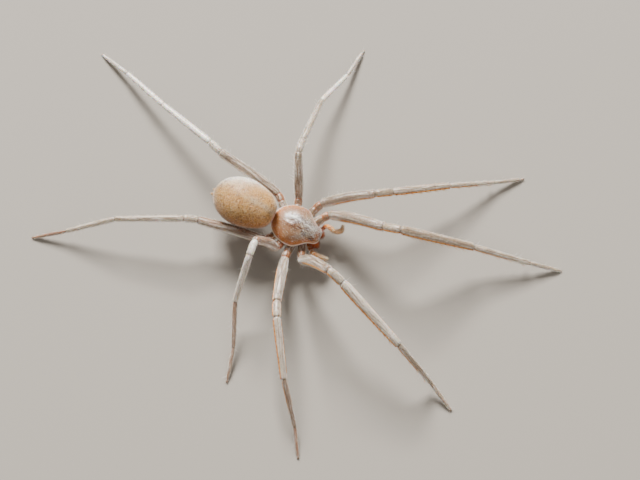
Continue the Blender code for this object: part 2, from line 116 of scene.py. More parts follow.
PALP_SHARES = (1.20, 1.20, 0.85, 0.85, 1.0, 0.90, 0.95, 0.45)
PALP_ROUTES = {
    "left": (
        (0.66, 0.15, 0.66), (0.82, 0.33, 0.61), (0.98, 0.52, 0.69), (1.09, 0.61, 0.92),
        (1.32, 0.58, 1.02), (1.48, 0.56, 0.94), (1.70, 0.72, 0.82), (1.66, 0.98, 0.72),
    ),
    "right": (
        (0.66, 0.15, 0.66), (0.82, 0.33, 0.61), (0.98, 0.52, 0.69), (1.06, 0.61, 0.88),
        (1.20, 0.66, 0.92), (1.36, 0.64, 0.82), (1.53, 0.58, 0.66), (1.68, 0.50, 0.50),
    ),
}

# Sizes of the legs
SEGMENTS = ("coxa", "femur", "patella", "tibia", "metatarsus", "tarsus")
SEGMENT_LENGTHS = {
    1: (2.85, 0.75, 3.35, 2.42, 1.35),
    2: (2.46, 0.72, 2.50, 2.04, 1.25),
    3: (2.00, 0.68, 2.26, 1.86, 1.40),
    4: (2.90, 0.60, 2.78, 2.18, 1.42),
}
SEGMENT_WIDTHS = {
    1: (0.37, 0.46, 0.35, 0.40, 0.25, 0.17),
    2: (0.37, 0.41, 0.31, 0.30, 0.20, 0.15),
    3: (0.37, 0.38, 0.28, 0.27, 0.20, 0.15),
    4: (0.36, 0.40, 0.30, 0.27, 0.21, 0.15),
}
SEGMENT_PROFILES = {
    "coxa": ((0.45, 1.0), (0.64, 1.0), (0.73, 0.86), (0.82, 0.95)),
    "femur": ((0.08, 0.88), (0.35, 1.0), (0.90, 0.86)),
    "patella": ((0.25, 1.0), (0.75, 1.0)),
    "tibia": ((0.10, 1.0), (0.90, 0.82)),
    "metatarsus": ((0.08, 1.0), (0.92, 0.84)),
    "tarsus": ((0.10, 1.0), (0.80, 0.85)),
}
COXA_ROOT_SHARE = 0.66
COXA_HEIGHT = 0.88
HIP_HEIGHT = 1.00
FEMUR_BOW = {1: 0.05, 2: 0.05, 3: 0.05, 4: 0.02}
CORNER_REACH = 0.30
SHORTEST_RUN = 1e-6
JOINT_WAIST = 0.80
TIP_WIDTH = 0.09
FOOT_SINK = 0.45
COXA_ROOTS = {1: (0.66, 0.36), 2: (0.26, 0.66), 3: (-0.20, 0.68), 4: (-0.62, 0.42)}

# Each leg's pose: its femur's start in plan, the headings from femur to tarsus in degrees, and the heights
# of the joints after femur, patella, tibia and metatarsus
LEG_POSES = {
    ("left", 1): ((1.36, 0.56), (-25, -19, -4, -11, -9), (2.50, 2.80, 1.20, 0.45)),
    ("left", 2): ((1.03, 1.01), (1, 9, 13, 13, 12), (2.15, 2.00, 1.20, 0.35)),
    ("left", 3): ((0.15, 1.22), (91, 72, 69, 52, 61), (2.25, 2.00, 1.15, 0.40)),
    ("left", 4): ((-0.65, 1.42), (147, 133, 136, 134, 138), (1.70, 1.68, 0.90, 0.38)),
    ("right", 1): ((0.24, -1.35), (-47, -39, -46, -39, -52), (3.35, 3.05, 2.20, 0.45)),
    ("right", 2): ((-0.42, -1.31), (-98, -90, -83, -75, -84), (2.15, 2.30, 1.60, 0.40)),
    ("right", 3): ((-0.73, -0.86), (-165, -109, -113, -92, -101), (2.80, 2.80, 1.15, 0.40)),
    ("right", 4): ((-1.14, -0.55), (165, 183, 178, 187, 186), (1.42, 1.66, 1.30, 0.45)),
}

# Only the front legs bear spines and golden seams. SPINES has the pairs and length on each segment
FRONT_LEGS = (1, 2)
SPINES = {
    (1, "tibia"): (8, 0.46), (1, "metatarsus"): (4, 0.38),
    (2, "tibia"): (6, 0.40), (2, "metatarsus"): (4, 0.32),
}
SPINE_WIDTH = 0.050
SPINE_STRETCH = (0.14, 0.84)
SPINE_LEAN = 60.0
SPINE_SPLAY = 34.0
SPINE_BEND = 0.12
SPINE_SINK = 0.02
SOCKET_HEIGHT = 0.045
SOCKET_BULGE = (1.9, 1.9, 1.8, 1.5, 1.05)
CLAW_LENGTH = 0.075
CLAW_RADIUS = 0.010

# Lip, mouth plates and the soft skin inside: place and size
LIP = ((0.68, 0.0, 0.68), (0.22, 0.26, 0.14))
MOUTH_PLATE = ((0.80, 0.17, 0.66), (0.46, 0.20, 0.17))
SOFT_MIDDLE = ((0.0, 0.0, 1.02), (1.62, 1.30, 0.50))

# Fineness of the skins: rings along, and sides around
CARAPACE_GRID = (190, 256)
ABDOMEN_GRID = (220, 260)
STERNUM_GRID = (60, 72)
JAW_GRID = (60, 48)
PLATE_GRID = (32, 36)
BEAD_GRID = (8, 10)
SEGMENT_RINGS = {"coxa": 70, "femur": 110, "patella": 50, "tibia": 110, "metatarsus": 90, "tarsus": 60}
LEG_SIDES = 48
PALP_STEPS = 14
PALP_SIDES = 24

# Marks of the legs: lines along a segment, the reach of a joint's narrow waist and of its dark ring
STREAKS = 9
COLLAR = 0.07
JOINT_LINE = 0.026
TONE_STRENGTH = 0.85

# Golden seams of the front legs: their angle from the top, how far both are rolled towards one flank, how
# deep and thick they are, how far round they tint and bare the skin, and the beads on them
SEAM_ANGLE = 1.57
SEAM_ROLL = 0.26
SEAM_INSET = 0.02
SEAM_RADIUS = 0.034
SEAM_GLOW = 0.30
SEAM_BARE = 0.36
BEAD_RADIUS = 0.040
BEAD_SPACING = 0.21

# How thick the seam is on each segment, and from which share of its length to which it runs
SEAM_SPANS = {
    "femur": (0.70, 0.30, 1.0),
    "patella": (0.90, 0.0, 1.0),
    "tibia": (1.0, 0.0, 1.0),
    "metatarsus": (0.60, 0.0, 0.6),
}

# Relief and marks of the carapace and abdomen
FURROW_BEARINGS = (34.0, 72.0, 106.0, 140.0)
FURROW_DEPTH = 0.006
FURROW_WIDTH = 0.034
RIM_BEAD = 0.030
RIPPLE_HEIGHT = 0.0020
RIPPLE_LENGTH = 0.065
FLECKS = 190
SPOTS = 700
CARAPACE_DARK_HAIRS = 0.35
DIMPLE_PLACES = (0.18, -0.02, -0.20)
DIMPLE_ASIDE = 0.11
DIMPLE_WIDTH = 0.022
DIMPLE_DEPTH = 0.022
FOLD_HEIGHT = 0.02

# Where the folds along the flank of the carapace run, as angles from its rim, and how dark they are
CARAPACE_FOLDS = ((0.40, 0.85), (0.58, 0.75), (0.74, 0.55))

# The way, back and left towards the key light, in which the abdomen is painted paler: painted sheen and
# highlight on its lit side, and painted shade on the far side
PAINTED_LIGHT_SIDE = (-0.876, 1.798)

# Each kind of hair: how many places are drawn, how far apart they stay, whether it lies forward or back
# along the part, the ranges of length, width and angle from the skin, its bend and its rings
Coat = namedtuple("Coat", "count apart lie lengths widths stands bend levels", defaults=((0.0, 0.5),))
COATS = {
    "carapace": Coat(2400, 0.0, 1.0, (0.05, 0.10), (0.010, 0.016), (12, 30), 0.08),
    "head": Coat(400, 0.07, 1.0, (0.08, 0.14), (0.018, 0.024), (15, 40), 0.12, (0.0, 0.33, 0.66)),
    "abdomen": Coat(40000, 0.034, -1.0, (0.05, 0.10), (0.010, 0.016), (14, 34), 0.10),
    "sternum": Coat(500, 0.0, -1.0, (0.07, 0.12), (0.007, 0.010), (20, 45), 0.10),
    "spigot": Coat(12, 0.0, 1.0, (0.03, 0.06), (0.006, 0.009), (70, 90), 0.0),
    "chelicera": Coat(160, 0.0, 1.0, (0.08, 0.18), (0.008, 0.012), (25, 50), 0.10),
    "palp": Coat(700, 0.0, 1.0, (0.08, 0.16), (0.007, 0.010), (20, 45), 0.10),
    "leg": Coat(2600, 0.045, 1.0, (0.08, 0.18), (0.006, 0.010), (15, 38), 0.10),
}
Roots = namedtuple("Roots", "coat points normals lies places colours")

# Hairs on each leg segment from coxa to tarsus, and the few long hairs that stand up among them
HAIR_DENSITIES = (0.25, 1.0, 1.0, 1.0, 1.9, 1.9)
RARE_HAIRS = 0.03
RARE_HAIR_LENGTH = 0.30
RARE_HAIR_STAND = 62.0

# The step between a hair's own points on its map, and the share of the map that roots spread over
MAP_STEP = 0.0010
MAP_SHARE = 0.99

# Surface of the skins: grains in a millimetre, relief in millimetres, and how mottles and dots darken it
FINE_GRAIN = 24.0
BROAD_GRAIN = 0.12 * FINE_GRAIN
RELIEF = 0.006
MOTTLE_SHADE = (0.62, 0.52, 0.42, 1.0)
DOT_SHADE = (0.42, 0.27, 0.16, 1.0)
DOT_CORE = 0.20
DOT_EDGE = 0.44

# Camera and light: the view in the photograph, and a soft sky with a broad key light
PIXEL = 0.04
CAMERA_ELEVATION = 72.0
CAMERA_DISTANCE = 250.0
CAMERA_TARGET = (1.0, -0.631, 1.3)
FRAME_WIDTH = 640 * PIXEL
SENSOR = 36.0
FLOOR_WIDTH = 1.2
SKY_STRENGTH = 0.28
LIGHTS = (
    ("key", (-0.04, 0.20, 0.17), 0.09, 2.7, (1.0, 0.98, 0.94)),
    ("fill", (0.12, -0.18, 0.20), 0.22, 0.36, (1.0, 0.94, 0.86)),
)


def linear(red, green, blue):
    """A colour given in the usual 0 to 255 steps, as linear light."""
    share = np.array([red, green, blue]) / 255.0
    return np.where(share <= 0.04045, share / 12.92, ((share + 0.055) / 1.055) ** 2.4)


# Colours of the living spider
ORANGE = linear(200, 112, 22)
DEEP_ORANGE = linear(162, 82, 18)
GOLD = linear(214, 146, 48)
CREAM = linear(238, 218, 184)
GREY_CREAM = linear(196, 184, 162)
WHITE = linear(254, 253, 250)
BROWN_GREY = linear(136, 116, 96)
LINE_BROWN = linear(92, 68, 48)
TAN = linear(180, 130, 74)
HIP_TAN = linear(124, 98, 72)
HIP_GREY = linear(178, 170, 156)
HIP_BROWN = linear(134, 84, 50)
ROSE_TAN = linear(164, 118, 88)
PINK_BROWN = linear(140, 88, 60)
JAW_BROWN = linear(146, 62, 8)
FANG_BROWN = linear(84, 22, 6)
SETA_PALE = linear(244, 236, 220)
SETA_BROWN = linear(84, 46, 22)
ABDOMEN_TOP = linear(196, 152, 84)
ABDOMEN_SIDE = linear(182, 106, 34)
THORAX_TOP = linear(146, 112, 84)
THORAX_SIDE = linear(196, 118, 40)
FLOOR_GREY = linear(144, 138, 130)

# Each leg's tone, brown below 0 and white above it: coxa, femur, patella, tibia, metatarsus, tarsus. The
# whitest tones, on the left hind legs' far segments, are partly painted highlight where those legs catch the
# light
LEG_TONES = {
    ("left", 1): (0.05, 0.20, 0.15, -0.10, 0.05, 0.20),
    ("left", 2): (-0.10, 0.15, 0.05, 0.00, 0.20, -0.05),
    ("left", 3): (0.50, 0.05, 0.25, 0.20, 1.10, 0.55),
    ("left", 4): (0.50, 0.10, 0.60, 1.15, 1.15, 0.75),
    ("right", 1): (-0.20, 0.15, 0.35, 0.60, -0.10, -0.30),
    ("right", 2): (-0.30, 0.25, 0.40, 0.45, -0.60, -0.90),
    ("right", 3): (-0.80, -0.60, 1.00, 0.90, -0.60, -0.60),
    ("right", 4): (-0.60, -0.40, 0.15, 0.10, 0.10, -0.80),
}


def unit(vectors):
    return vectors / np.maximum(np.linalg.norm(vectors, axis=-1, keepdims=True), 1e-12)


def step(value, low, high):
    """A smooth rise from 0 to 1 between low and high."""
    share = np.clip((value - low) / (high - low), 0.0, 1.0)
    return share * share * (3.0 - 2.0 * share)


def hill(value, middle, width):
    return np.exp(-((value - middle) / width) ** 2)


def blend(first, second, share):
    """Mixes two colours or arrays of colours by an array of shares."""
    share = np.asarray(share)[..., None]
    return first * (1.0 - share) + second * share


def painted(base, *layers):
    """A base colour with layers over it, each a colour and its share from 0 to 1 at every point."""
    for colour, share in layers:
        base = blend(base, colour, share)
    return base


def turned(points, degrees, axis="z"):
    """Points turned about an axis through the origin."""
    angle = math.radians(degrees)
    c, s = math.cos(angle), math.sin(angle)
    matrix = {
        "z": [[c, -s, 0], [s, c, 0], [0, 0, 1]],
        "y": [[c, 0, s], [0, 1, 0], [-s, 0, c]],
    }[axis]
    return np.asarray(points) @ np.array(matrix).T


def spider_axes(points):
    """Points or directions in the spider's own axes, in the model's directions."""
    return turned(points, PROSOMA_YAW)


def smooth_curve(knots, values, shares):
    """A curve through knots that never overshoots them, read at shares."""
    knots, values = np.asarray(knots, float), np.asarray(values, float)
    slopes = np.diff(values) / np.diff(knots)
    tangents = np.zeros(len(knots))
    same_way = slopes[1:] * slopes[:-1] > 0
    total = np.where(same_way, slopes[1:] + slopes[:-1], 1.0)
    tangents[1:-1] = np.where(same_way, 2.0 * slopes[1:] * slopes[:-1] / total, 0.0)
    spot = np.clip(np.searchsorted(knots, shares) - 1, 0, len(knots) - 2)
    reach = knots[spot + 1] - knots[spot]
    t = (shares - knots[spot]) / reach
    return (
        values[spot] * (2 * t ** 3 - 3 * t ** 2 + 1)
        + tangents[spot] * reach * (t ** 3 - 2 * t ** 2 + t)
        + values[spot + 1] * (3 * t ** 2 - 2 * t ** 3)
        + tangents[spot + 1] * reach * (t ** 3 - t ** 2)
    )


def ball(shape, rings, sides):
    """A grid of rings around X from pole to pole, moved point by point by a shape function."""
    x = -np.cos(np.pi * np.arange(rings + 1) / rings)[:, None]
    angle = 2.0 * np.pi * np.arange(sides) / sides
    ring = np.sqrt(np.maximum(0.0, 1.0 - x ** 2))
    ring[0] = ring[-1] = 1e-4
    across = np.cos(angle)[None, :] + 0.0 * x
    up = np.sin(angle)[None, :] + 0.0 * x
    return np.stack(shape(x + 0.0 * across, ring + 0.0 * across, across, up), axis=-1), across, up


def swept(points, radii, sides):
    """A grid of rings around a line of points. Side 0 faces up, and the sides turn with the line."""
    along = unit(np.gradient(points, axis=0))
    top = unit(UP - along * along[:, 2:3])
    side = np.cross(along, top)
    angle = 2.0 * np.pi * np.arange(sides) / sides
    radii = np.broadcast_to(np.asarray(radii, float), len(points))[:, None, None]
    around = top[:, None, :] * np.cos(angle)[None, :, None]
    around = around + side[:, None, :] * np.sin(angle)[None, :, None]
    return points[:, None, :] + radii * around


def walked_along(line):
    """The way from a line's start to each of its points."""
    return np.concatenate([[0.0], np.cumsum(np.linalg.norm(np.diff(line, axis=0), axis=1))])


def points_at(line, ways):
    """The places on a line at given ways from its start."""
    walked = walked_along(line)
    return np.stack([np.interp(ways, walked, line[:, k]) for k in range(3)], -1)


def closed_faces(count, sides):
    """Quads over a grid of rings and a fan over each end, whose middles are the last two points."""
    i, j = np.meshgrid(np.arange(count - 1), np.arange(sides), indexing="ij")
    after = (j + 1) % sides
    quads = np.stack([i * sides + j, i * sides + after, (i + 1) * sides + after, (i + 1) * sides + j], -1)
    ring = np.arange(sides)
    onward = (ring + 1) % sides
    start = np.stack([np.full(sides, count * sides), onward, ring], -1)
    last = (count - 1) * sides
    end = np.stack([np.full(sides, count * sides + 1), last + ring, last + onward], -1)
    return [quads.reshape(-1, 4), np.vstack([start, end])]


def with_ends(grid):
    """A grid's values as a list, followed by the middles of its first and last ring."""
    flat = grid.reshape(-1, grid.shape[-1])
    return np.vstack([flat, grid[0].mean(axis=0), grid[-1].mean(axis=0)])


def joined(parts):
    """Several (points, faces, tints) parts as one."""
    points, faces, tints = [], [], []
    offset = 0
    for part_points, part_faces, part_tints in parts:
        faces += [group + offset for group in part_faces]
        points.append(part_points)
        tints.append(part_tints)
        offset += len(part_points)
    return np.vstack(points), faces, np.vstack(tints)


def part_of(grid, tint):
    """A closed skin over a grid, with one colour or a grid of colours."""
    tint = np.broadcast_to(tint, grid.shape)
    return with_ends(grid), closed_faces(*grid.shape[:2]), with_ends(tint)


def tube(points, radii, sides, tint):
    """A closed tube around a line of points, as a part."""
    return part_of(swept(points, radii, sides), tint)


def solid_middle():
    """The middle in plan of the carapace's own solid, measured from its broadest place."""
    flat = spider_axes(ball(carapace_shape, SOLID_RINGS, SOLID_SIDES)[0]).reshape(-1, 3)
    return 0.5 * (flat.min(axis=0) + flat.max(axis=0))[:2]


def new_object(name, data):
    item = bpy.data.objects.new(name, data)
    bpy.context.scene.collection.objects.link(item)
    return item


def add_piece(name, points, faces, tints, material, slot, replaced=()):
    """Makes a mesh of points in millimetres, sets it on the frame and gives it its finish."""
    mesh = bpy.data.meshes.new(name)
    placed = (points + SHIFT) * MM
    placed[:, 2] = np.maximum(placed[:, 2], 0.0)
    totals = np.concatenate([np.full(len(group), group.shape[1]) for group in faces])
    corners = np.concatenate([group.ravel() for group in faces])
    mesh.vertices.add(len(placed))
    mesh.vertices.foreach_set("co", placed.astype(np.float32).ravel())
    mesh.loops.add(len(corners))
    mesh.loops.foreach_set("vertex_index", corners.astype(np.int32))
    mesh.polygons.add(len(totals))
    mesh.polygons.foreach_set("loop_start", (np.cumsum(totals) - totals).astype(np.int32))
    mesh.polygons.foreach_set("loop_total", totals.astype(np.int32))
    mesh.update(calc_edges=True)
    mesh.validate()
    tint = mesh.attributes.new("tint", "FLOAT_COLOR", "POINT")
    colours = np.hstack([tints, np.ones((len(tints), 1))])
    tint.data.foreach_set("color", colours.astype(np.float32).ravel())
    mesh.shade_smooth()
    mesh.materials.append(material)
    piece = new_object(name, mesh)
    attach(piece, "root")
    if replaced:
        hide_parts(*replaced)
    return piece


def feed(tree, socket, value):
    """Sets a socket to a value, or links another socket to it."""
    if isinstance(value, bpy.types.NodeSocket):
        tree.links.new(value, socket)
    else:
        socket.default_value = value


def new_node(tree, kind, **inputs):
    """A node with its inputs set or linked. An underscore in an input's name stands for a space."""
    node = tree.nodes.new(kind)
    for label, value in inputs.items():
        feed(tree, node.inputs[label.replace("_", " ")], value)
    return node


def mixed(tree, share, first, second, kind="MIX"):
    """A colour mix node; share is a number or a socket, first and second are sockets or colours."""
    node = tree.nodes.new("ShaderNodeMix")
    node.data_type = "RGBA"
    node.blend_type = kind
    for index, value in ((0, share), (6, first), (7, second)):
        feed(tree, node.inputs[index], value)
    return node.outputs[2]


def ranged(tree, value, low, high, start=0.0, end=1.0):
    """A value from start to end spread from low to high."""
    spread = {"From_Min": start, "From_Max": end, "To_Min": low, "To_Max": high}
    return new_node(tree, "ShaderNodeMapRange", Value=value, **spread).outputs["Result"]


def noise(tree, place, grain, detail):
    """Noise with so many grains in a millimetre."""
    looks = {"Scale": grain, "Detail": detail, "Roughness": 0.6}
    return new_node(tree, "ShaderNodeTexNoise", Vector=place, **looks).outputs["Fac"]


def mottled(tree, fine, broad, strength):
    """The piece's own colour, darkened a little where a fine and a broad noise are high."""
    node = tree.nodes.new("ShaderNodeAttribute")
    node.attribute_name = "tint"
    colour = node.outputs["Color"]
    darker = mixed(tree, 1.0, colour, MOTTLE_SHADE, "MULTIPLY")
    surface = mixed(tree, ranged(tree, broad, -0.5 * strength, 1.5 * strength), colour, darker)
    return mixed(tree, ranged(tree, fine, -0.4 * strength, 1.2 * strength), surface, darker)


def dotted(tree, surface, place, strength, fineness):
    """A surface colour with small brown dots."""
    cells = new_node(tree, "ShaderNodeTexVoronoi", Vector=place, Scale=fineness, Randomness=0.8)
    share = ranged(tree, cells.outputs["Distance"], strength, 0.0, DOT_CORE, DOT_EDGE)
    return mixed(tree, share, surface, mixed(tree, 1.0, surface, DOT_SHADE, "MULTIPLY"))


def cuticle(name, roughness, scatter, coat, sheen, mottle, dots=0.0, dot_scale=10.0, inner=0.85, gloss=0.5):
    """A translucent skin: its own colour with fine mottling, small relief, soft light inside and thin gloss.

    scatter is in millimetres, and dot_scale is dots in a millimetre. dots is how strongly the small brown
    sockets of the hairs show, and inner is the share of light that scatters inside.
    """
    material = bpy.data.materials.new(name)
    material.use_nodes = True
    tree = material.node_tree
    place = tree.nodes.new("ShaderNodeTexCoord").outputs["Object"]
    place = new_node(tree, "ShaderNodeMapping", Vector=place, Scale=[1 / MM] * 3).outputs["Vector"]
    fine, broad = (noise(tree, place, *grain) for grain in ((FINE_GRAIN, 3.0), (BROAD_GRAIN, 4.0)))
    surface = mottled(tree, fine, broad, mottle)
    if dots:
        surface = dotted(tree, surface, place, dots, dot_scale)
    bump = new_node(tree, "ShaderNodeBump", Height=fine, Strength=0.6, Distance=RELIEF * MM)
    looks = {
        "Base Color": surface,
        "Roughness": ranged(tree, fine, roughness - 0.1, roughness + 0.1),
        "Normal": bump.outputs["Normal"],
        "Subsurface Weight": inner,
        "Subsurface Radius": (1.0, 0.55, 0.28),
        "Subsurface Scale": scatter * MM,
        "Coat Weight": coat,
        "Coat Roughness": 0.25,
        "Sheen Weight": sheen,
        "Sheen Roughness": 0.3,
        "Sheen Tint": (1.0, 0.98, 0.94, 1.0),
        "Specular IOR Level": gloss,
    }
    for label, value in looks.items():
        feed(tree, tree.nodes["Principled BSDF"].inputs[label], value)
    return material


def scattered(grid, tint, kind, draw, weight=None):
    """Roots for one kind of coat, scattered over a skin.

    Where the coat's roots stand apart, only one is kept in each small cube of that width, so they lie evenly.
    """
    coat = COATS[kind]
    ahead = grid[1:] - grid[:-1]
    beside = (np.roll(grid, -1, axis=1) - grid)[:-1]
    outward = np.cross(beside, ahead)
    share = np.linalg.norm(outward, axis=-1)
    if weight is not None:
        share = share * weight[:-1]
    picked = draw.choice(share.size, coat.count, p=share.ravel() / share.sum())
    i, j = np.divmod(picked, grid.shape[1])
    a, b = draw.random(coat.count)[:, None], draw.random(coat.count)[:, None]
    points = grid[i, j] + a * ahead[i, j] + b * beside[i, j]
    if coat.apart:
        cubes = np.floor(points / coat.apart).astype(int)
        first = np.sort(np.unique(cubes, axis=0, return_index=True)[1])
        points, i, j, a, b = points[first], i[first], j[first], a[first], b[first]
    places = np.stack([(i + a[:, 0]) / (len(grid) - 1), (j + b[:, 0]) / grid.shape[1]], -1)
    colours = np.broadcast_to(tint, grid.shape)[i, j]
    return Roots(coat, points, unit(outward[i, j]), coat.lie * unit(ahead[i, j]), places, colours)


def setae_parts(roots, lengths, widths, stands):
    """Tapered three-sided hairs that leave the skin at an angle and bend back towards it."""
    bend, levels, normals = roots.coat.bend, roots.coat.levels, roots.normals
    lengths, widths, outward = lengths[:, None], widths[:, None], np.radians(stands)[:, None]
    heading = unit(roots.lies * np.cos(outward) + normals * np.sin(outward))
    side = unit(np.cross(heading, normals))
    third = np.cross(side, heading)
    points = []
    for level in levels:
        middle = roots.points + lengths * (heading * level - normals * bend * level ** 2) - normals * widths
        radius = 0.5 * widths * (1.0 - 0.85 * level)
        for turn in 2.0 * np.pi / 3.0 * np.arange(3):
            points.append(middle + radius * (side * math.cos(turn) + third * math.sin(turn)))
    points.append(roots.points + lengths * (heading - normals * bend))
    points = np.stack(points, axis=1)
    size = points.shape[1]
    faces = [(0, 2, 1)]
    for level in range(len(levels) - 1):
        for k in range(3):
            low, high = 3 * level, 3 * level + 3
            after = (k + 1) % 3
            faces += [(low + k, low + after, high + after), (low + k, high + after, high + k)]
    last = 3 * (len(levels) - 1)
    faces += [(last + k, last + (k + 1) % 3, size - 1) for k in range(3)]
    offsets = (np.arange(len(points)) * size)[:, None, None]
    return points.reshape(-1, 3), (np.array(faces)[None] + offsets).reshape(-1, 3), size


def add_coat(name, roots, shade, finish, slot, draw, rare=None):
    """A joined mesh of hairs, each mapped to a small patch at its root's place on the skin.

    shade is one colour, or one for each hair. rare tells which hairs are long and stand up.
    """
    coat = roots.coat
    spans = (coat.lengths, coat.widths, coat.stands)
    lengths, widths, stands = (draw.uniform(*span, len(roots.points)) for span in spans)
    if rare is not None:
        lengths = np.where(rare, RARE_HAIR_LENGTH, lengths)
        stands = np.where(rare, RARE_HAIR_STAND, stands)
    points, faces, size = setae_parts(roots, lengths, widths, stands)
    tints = np.repeat(np.broadcast_to(shade, roots.points.shape), size, axis=0)
    piece = add_piece(name, points, [faces], tints, finish, slot)
    patch = np.stack([np.arange(size) % 3, np.arange(size) // 3], -1) * MAP_STEP
    places = (roots.places[:, None, :] * MAP_SHARE + patch[None]).reshape(-1, 2)
    layer = piece.data.uv_layers.new(name="OFBake")
    corners = np.zeros(len(piece.data.loops), np.int32)
    piece.data.loops.foreach_get("vertex_index", corners)
    layer.data.foreach_set("uv", places[corners].astype(np.float32).ravel())


def hair_colours(colours, draw, dark_share, paleness=(0.3, 1.0)):
    """A colour for each hair: most paler than the skin, and a share of them brown, fewer on pale skin."""
    count = len(colours)
    pale = blend(colours, SETA_PALE, draw.uniform(*paleness, count))
    dark = draw.random(count) < dark_share * np.clip(1.3 - 1.2 * colours.mean(axis=1), 0.0, 1.0)
    return blend(pale, SETA_BROWN, np.where(dark, draw.uniform(0.5, 0.9, count), 0.0))


def carapace_shape(x, ring, across, up):
    """Round behind, narrower and blunt at the head, with a domed top and a nearly flat underside."""
    full = ring ** (REAR_FULLNESS + (FRONT_FULLNESS - REAR_FULLNESS) * step(x, HEAD_STARTS, 1.0))
    narrow = 1.0 - (1.0 - HEAD_WIDTH_SHARE) * step(x, HEAD_STARTS, HEAD_SETTLES)
    half_width = 0.5 * CARAPACE_WIDTH * narrow * full
    rise = HEAD_RISE_SHARE * step(x, -0.75, 0.15) - BROW_DROP_SHARE * step(x, 0.35, 1.0)
    height = CARAPACE_HEIGHT * full * (REAR_DOME_SHARE + rise) * up
    dent = FOVEA_DEPTH * np.exp(
        -((x - FOVEA_PLACE) / FOVEA_LENGTH) ** 2 - (across * half_width / FOVEA_WIDTH) ** 2
    )
    z = np.where(up <= 0, CARAPACE_DEPTH * full * up, height - dent)
    return np.where(x > 0, CARAPACE_FRONT, CARAPACE_REAR) * x, half_width * across, z


def sternum_shape(x, ring, across, up):
    full = ring ** STERNUM_FULLNESS
    taper = 1.0 - STERNUM_REAR_TAPER * step(-x, 0.1, 0.9)
    return (
        0.5 * STERNUM_LENGTH * x,
        0.5 * STERNUM_WIDTH * taper * full * across,
        0.5 * (STERNUM_TOP - STERNUM_BOTTOM) * full * up,
    )


def abdomen_shape(x, ring, across, up):
    front = step(x, -0.2, 0.9)
    full = ring ** (1.0 + (ABDOMEN_FRONT_FULLNESS - 1.0) * front)
    narrow = 1.0 - ABDOMEN_FRONT_TAPER * front
    return (
        0.5 * ABDOMEN_LENGTH * x,
        0.5 * ABDOMEN_WIDTH * narrow * full * across,
        0.5 * ABDOMEN_HEIGHT * narrow * full * up,
    )


def chelicera_shape(x, ring, across, up):
    half = 0.5 * CHELICERA_WIDTH * (1.0 - CHELICERA_TAPER * step(x, 0.0, 1.0))
    return 0.5 * CHELICERA_LENGTH * x, half * ring * across, 1.15 * half * ring * up


def furrows(grid, top):
    """How deep the shallow furrows that fan out from the fovea are at each point of the carapace."""
    x = grid[..., 0] - CARAPACE_REAR * FOVEA_PLACE
    y = np.abs(grid[..., 1])
    reach = np.hypot(x, y)
    depth = np.zeros(reach.shape)
    for bearing in FURROW_BEARINGS:
        ahead = x * math.cos(math.radians(bearing)) + y * math.sin(math.radians(bearing))
        aside = -x * math.sin(math.radians(bearing)) + y * math.cos(math.radians(bearing))
        depth += hill(aside, 0.0, FURROW_WIDTH) * (ahead > 0) * step(ahead, 0.10, 0.26)
    return depth * top * (1.0 - step(reach, 0.55, 0.85))


def carapace_grid():
    """The carapace's skin in the spider's own axes, with furrows, ripples and a beaded rim."""
    grid, across, up = ball(carapace_shape, *CARAPACE_GRID)
    angle = np.arctan2(up, np.abs(across))
    top = step(up, 0.05, 0.35)
    furrow = furrows(grid, top)
    grid[..., 2] -= FURROW_DEPTH * furrow
    reach = np.hypot(grid[..., 0] - CARAPACE_REAR * FOVEA_PLACE, grid[..., 1])
    wander = 0.03 * np.sin(7.0 * np.arctan2(grid[..., 1], grid[..., 0]) + 9.0 * reach)
    ripple = np.sin(2.0 * np.pi * (reach + wander) / RIPPLE_LENGTH) * top * step(reach, 0.25, 0.45)
    grid[..., 2] += RIPPLE_HEIGHT * ripple
    bead = RIM_BEAD * hill(angle, 0.0, 0.10) - 0.4 * RIM_BEAD * hill(angle, 0.22, 0.10)
    outward = unit(np.stack([0.6 * grid[..., 0], grid[..., 1], 0.0 * up], -1))
    grid += outward * bead[..., None]
    return grid, up, angle, top, furrow, reach, ripple


def setae_and_highlight_streak(grid, top):
    """The ragged white streak beside the carapace's middle line: pale setae with a painted highlight along
    the ridge.
    """
    ragged = 0.025 * np.sin(31.0 * grid[..., 0] + 3.0 * np.sin(17.0 * grid[..., 1]))
    return hill(grid[..., 1] + ragged, 0.15, 0.12) * step(grid[..., 0], -0.60, -0.36) * top


def carapace_tint(grid, angle, top, furrow, reach, ripple, streak, draw):
    """Orange-brown sides, a greyer head with dark flecks, a white streak that is pale setae with a painted
    highlight, folds and a white rim.
    """
    forward, aside = grid[..., 0], grid[..., 1]
    height = grid[..., 2] / CARAPACE_HEIGHT
    layers = [
        (GREY_CREAM, 0.70 * step(forward, 0.1, 0.6) * step(height, 0.35, 0.75)),
        (HIP_BROWN, 0.5 * hill(reach, 0.0, 0.16) * top),
        # Painted highlight: white along the ridge beside the middle line, over the band of pale setae
        (WHITE, 0.92 * streak * step(height, 0.3, 0.7)),
        (HIP_BROWN, 0.35 * furrow * (1.0 - streak)),
        # Painted highlight on the ripples' crests and painted shade in their troughs
        (CREAM, 0.10 * np.clip(ripple, 0.0, 1.0)),
        (SETA_BROWN, 0.10 * np.clip(-ripple, 0.0, 1.0)),
        (SETA_BROWN, 0.95 * flecks(grid, draw) * top),
    ]
    for place, strength in CARAPACE_FOLDS:
        curl = place + 0.05 * np.sin(4.0 * forward + 20.0 * place)
        fold = hill(angle, curl, 0.035) * np.where(aside > 0, 1.0, 0.25) * step(forward, -0.5, 0.1)
        layers.append((HIP_BROWN, strength * fold * (1.0 - step(forward, 0.45, 0.7))))
    layers += [
        (blend(ORANGE, HIP_BROWN, 0.5), 0.75 * step(forward, 0.86, 1.04)),
        (HIP_BROWN, 0.5 * hill(angle, 0.16, 0.06)),
        (WHITE, 0.9 * hill(angle, 0.02, 0.09)),
    ]
    return painted(blend(THORAX_SIDE, THORAX_TOP, step(height, 0.20, 0.80)), *layers)


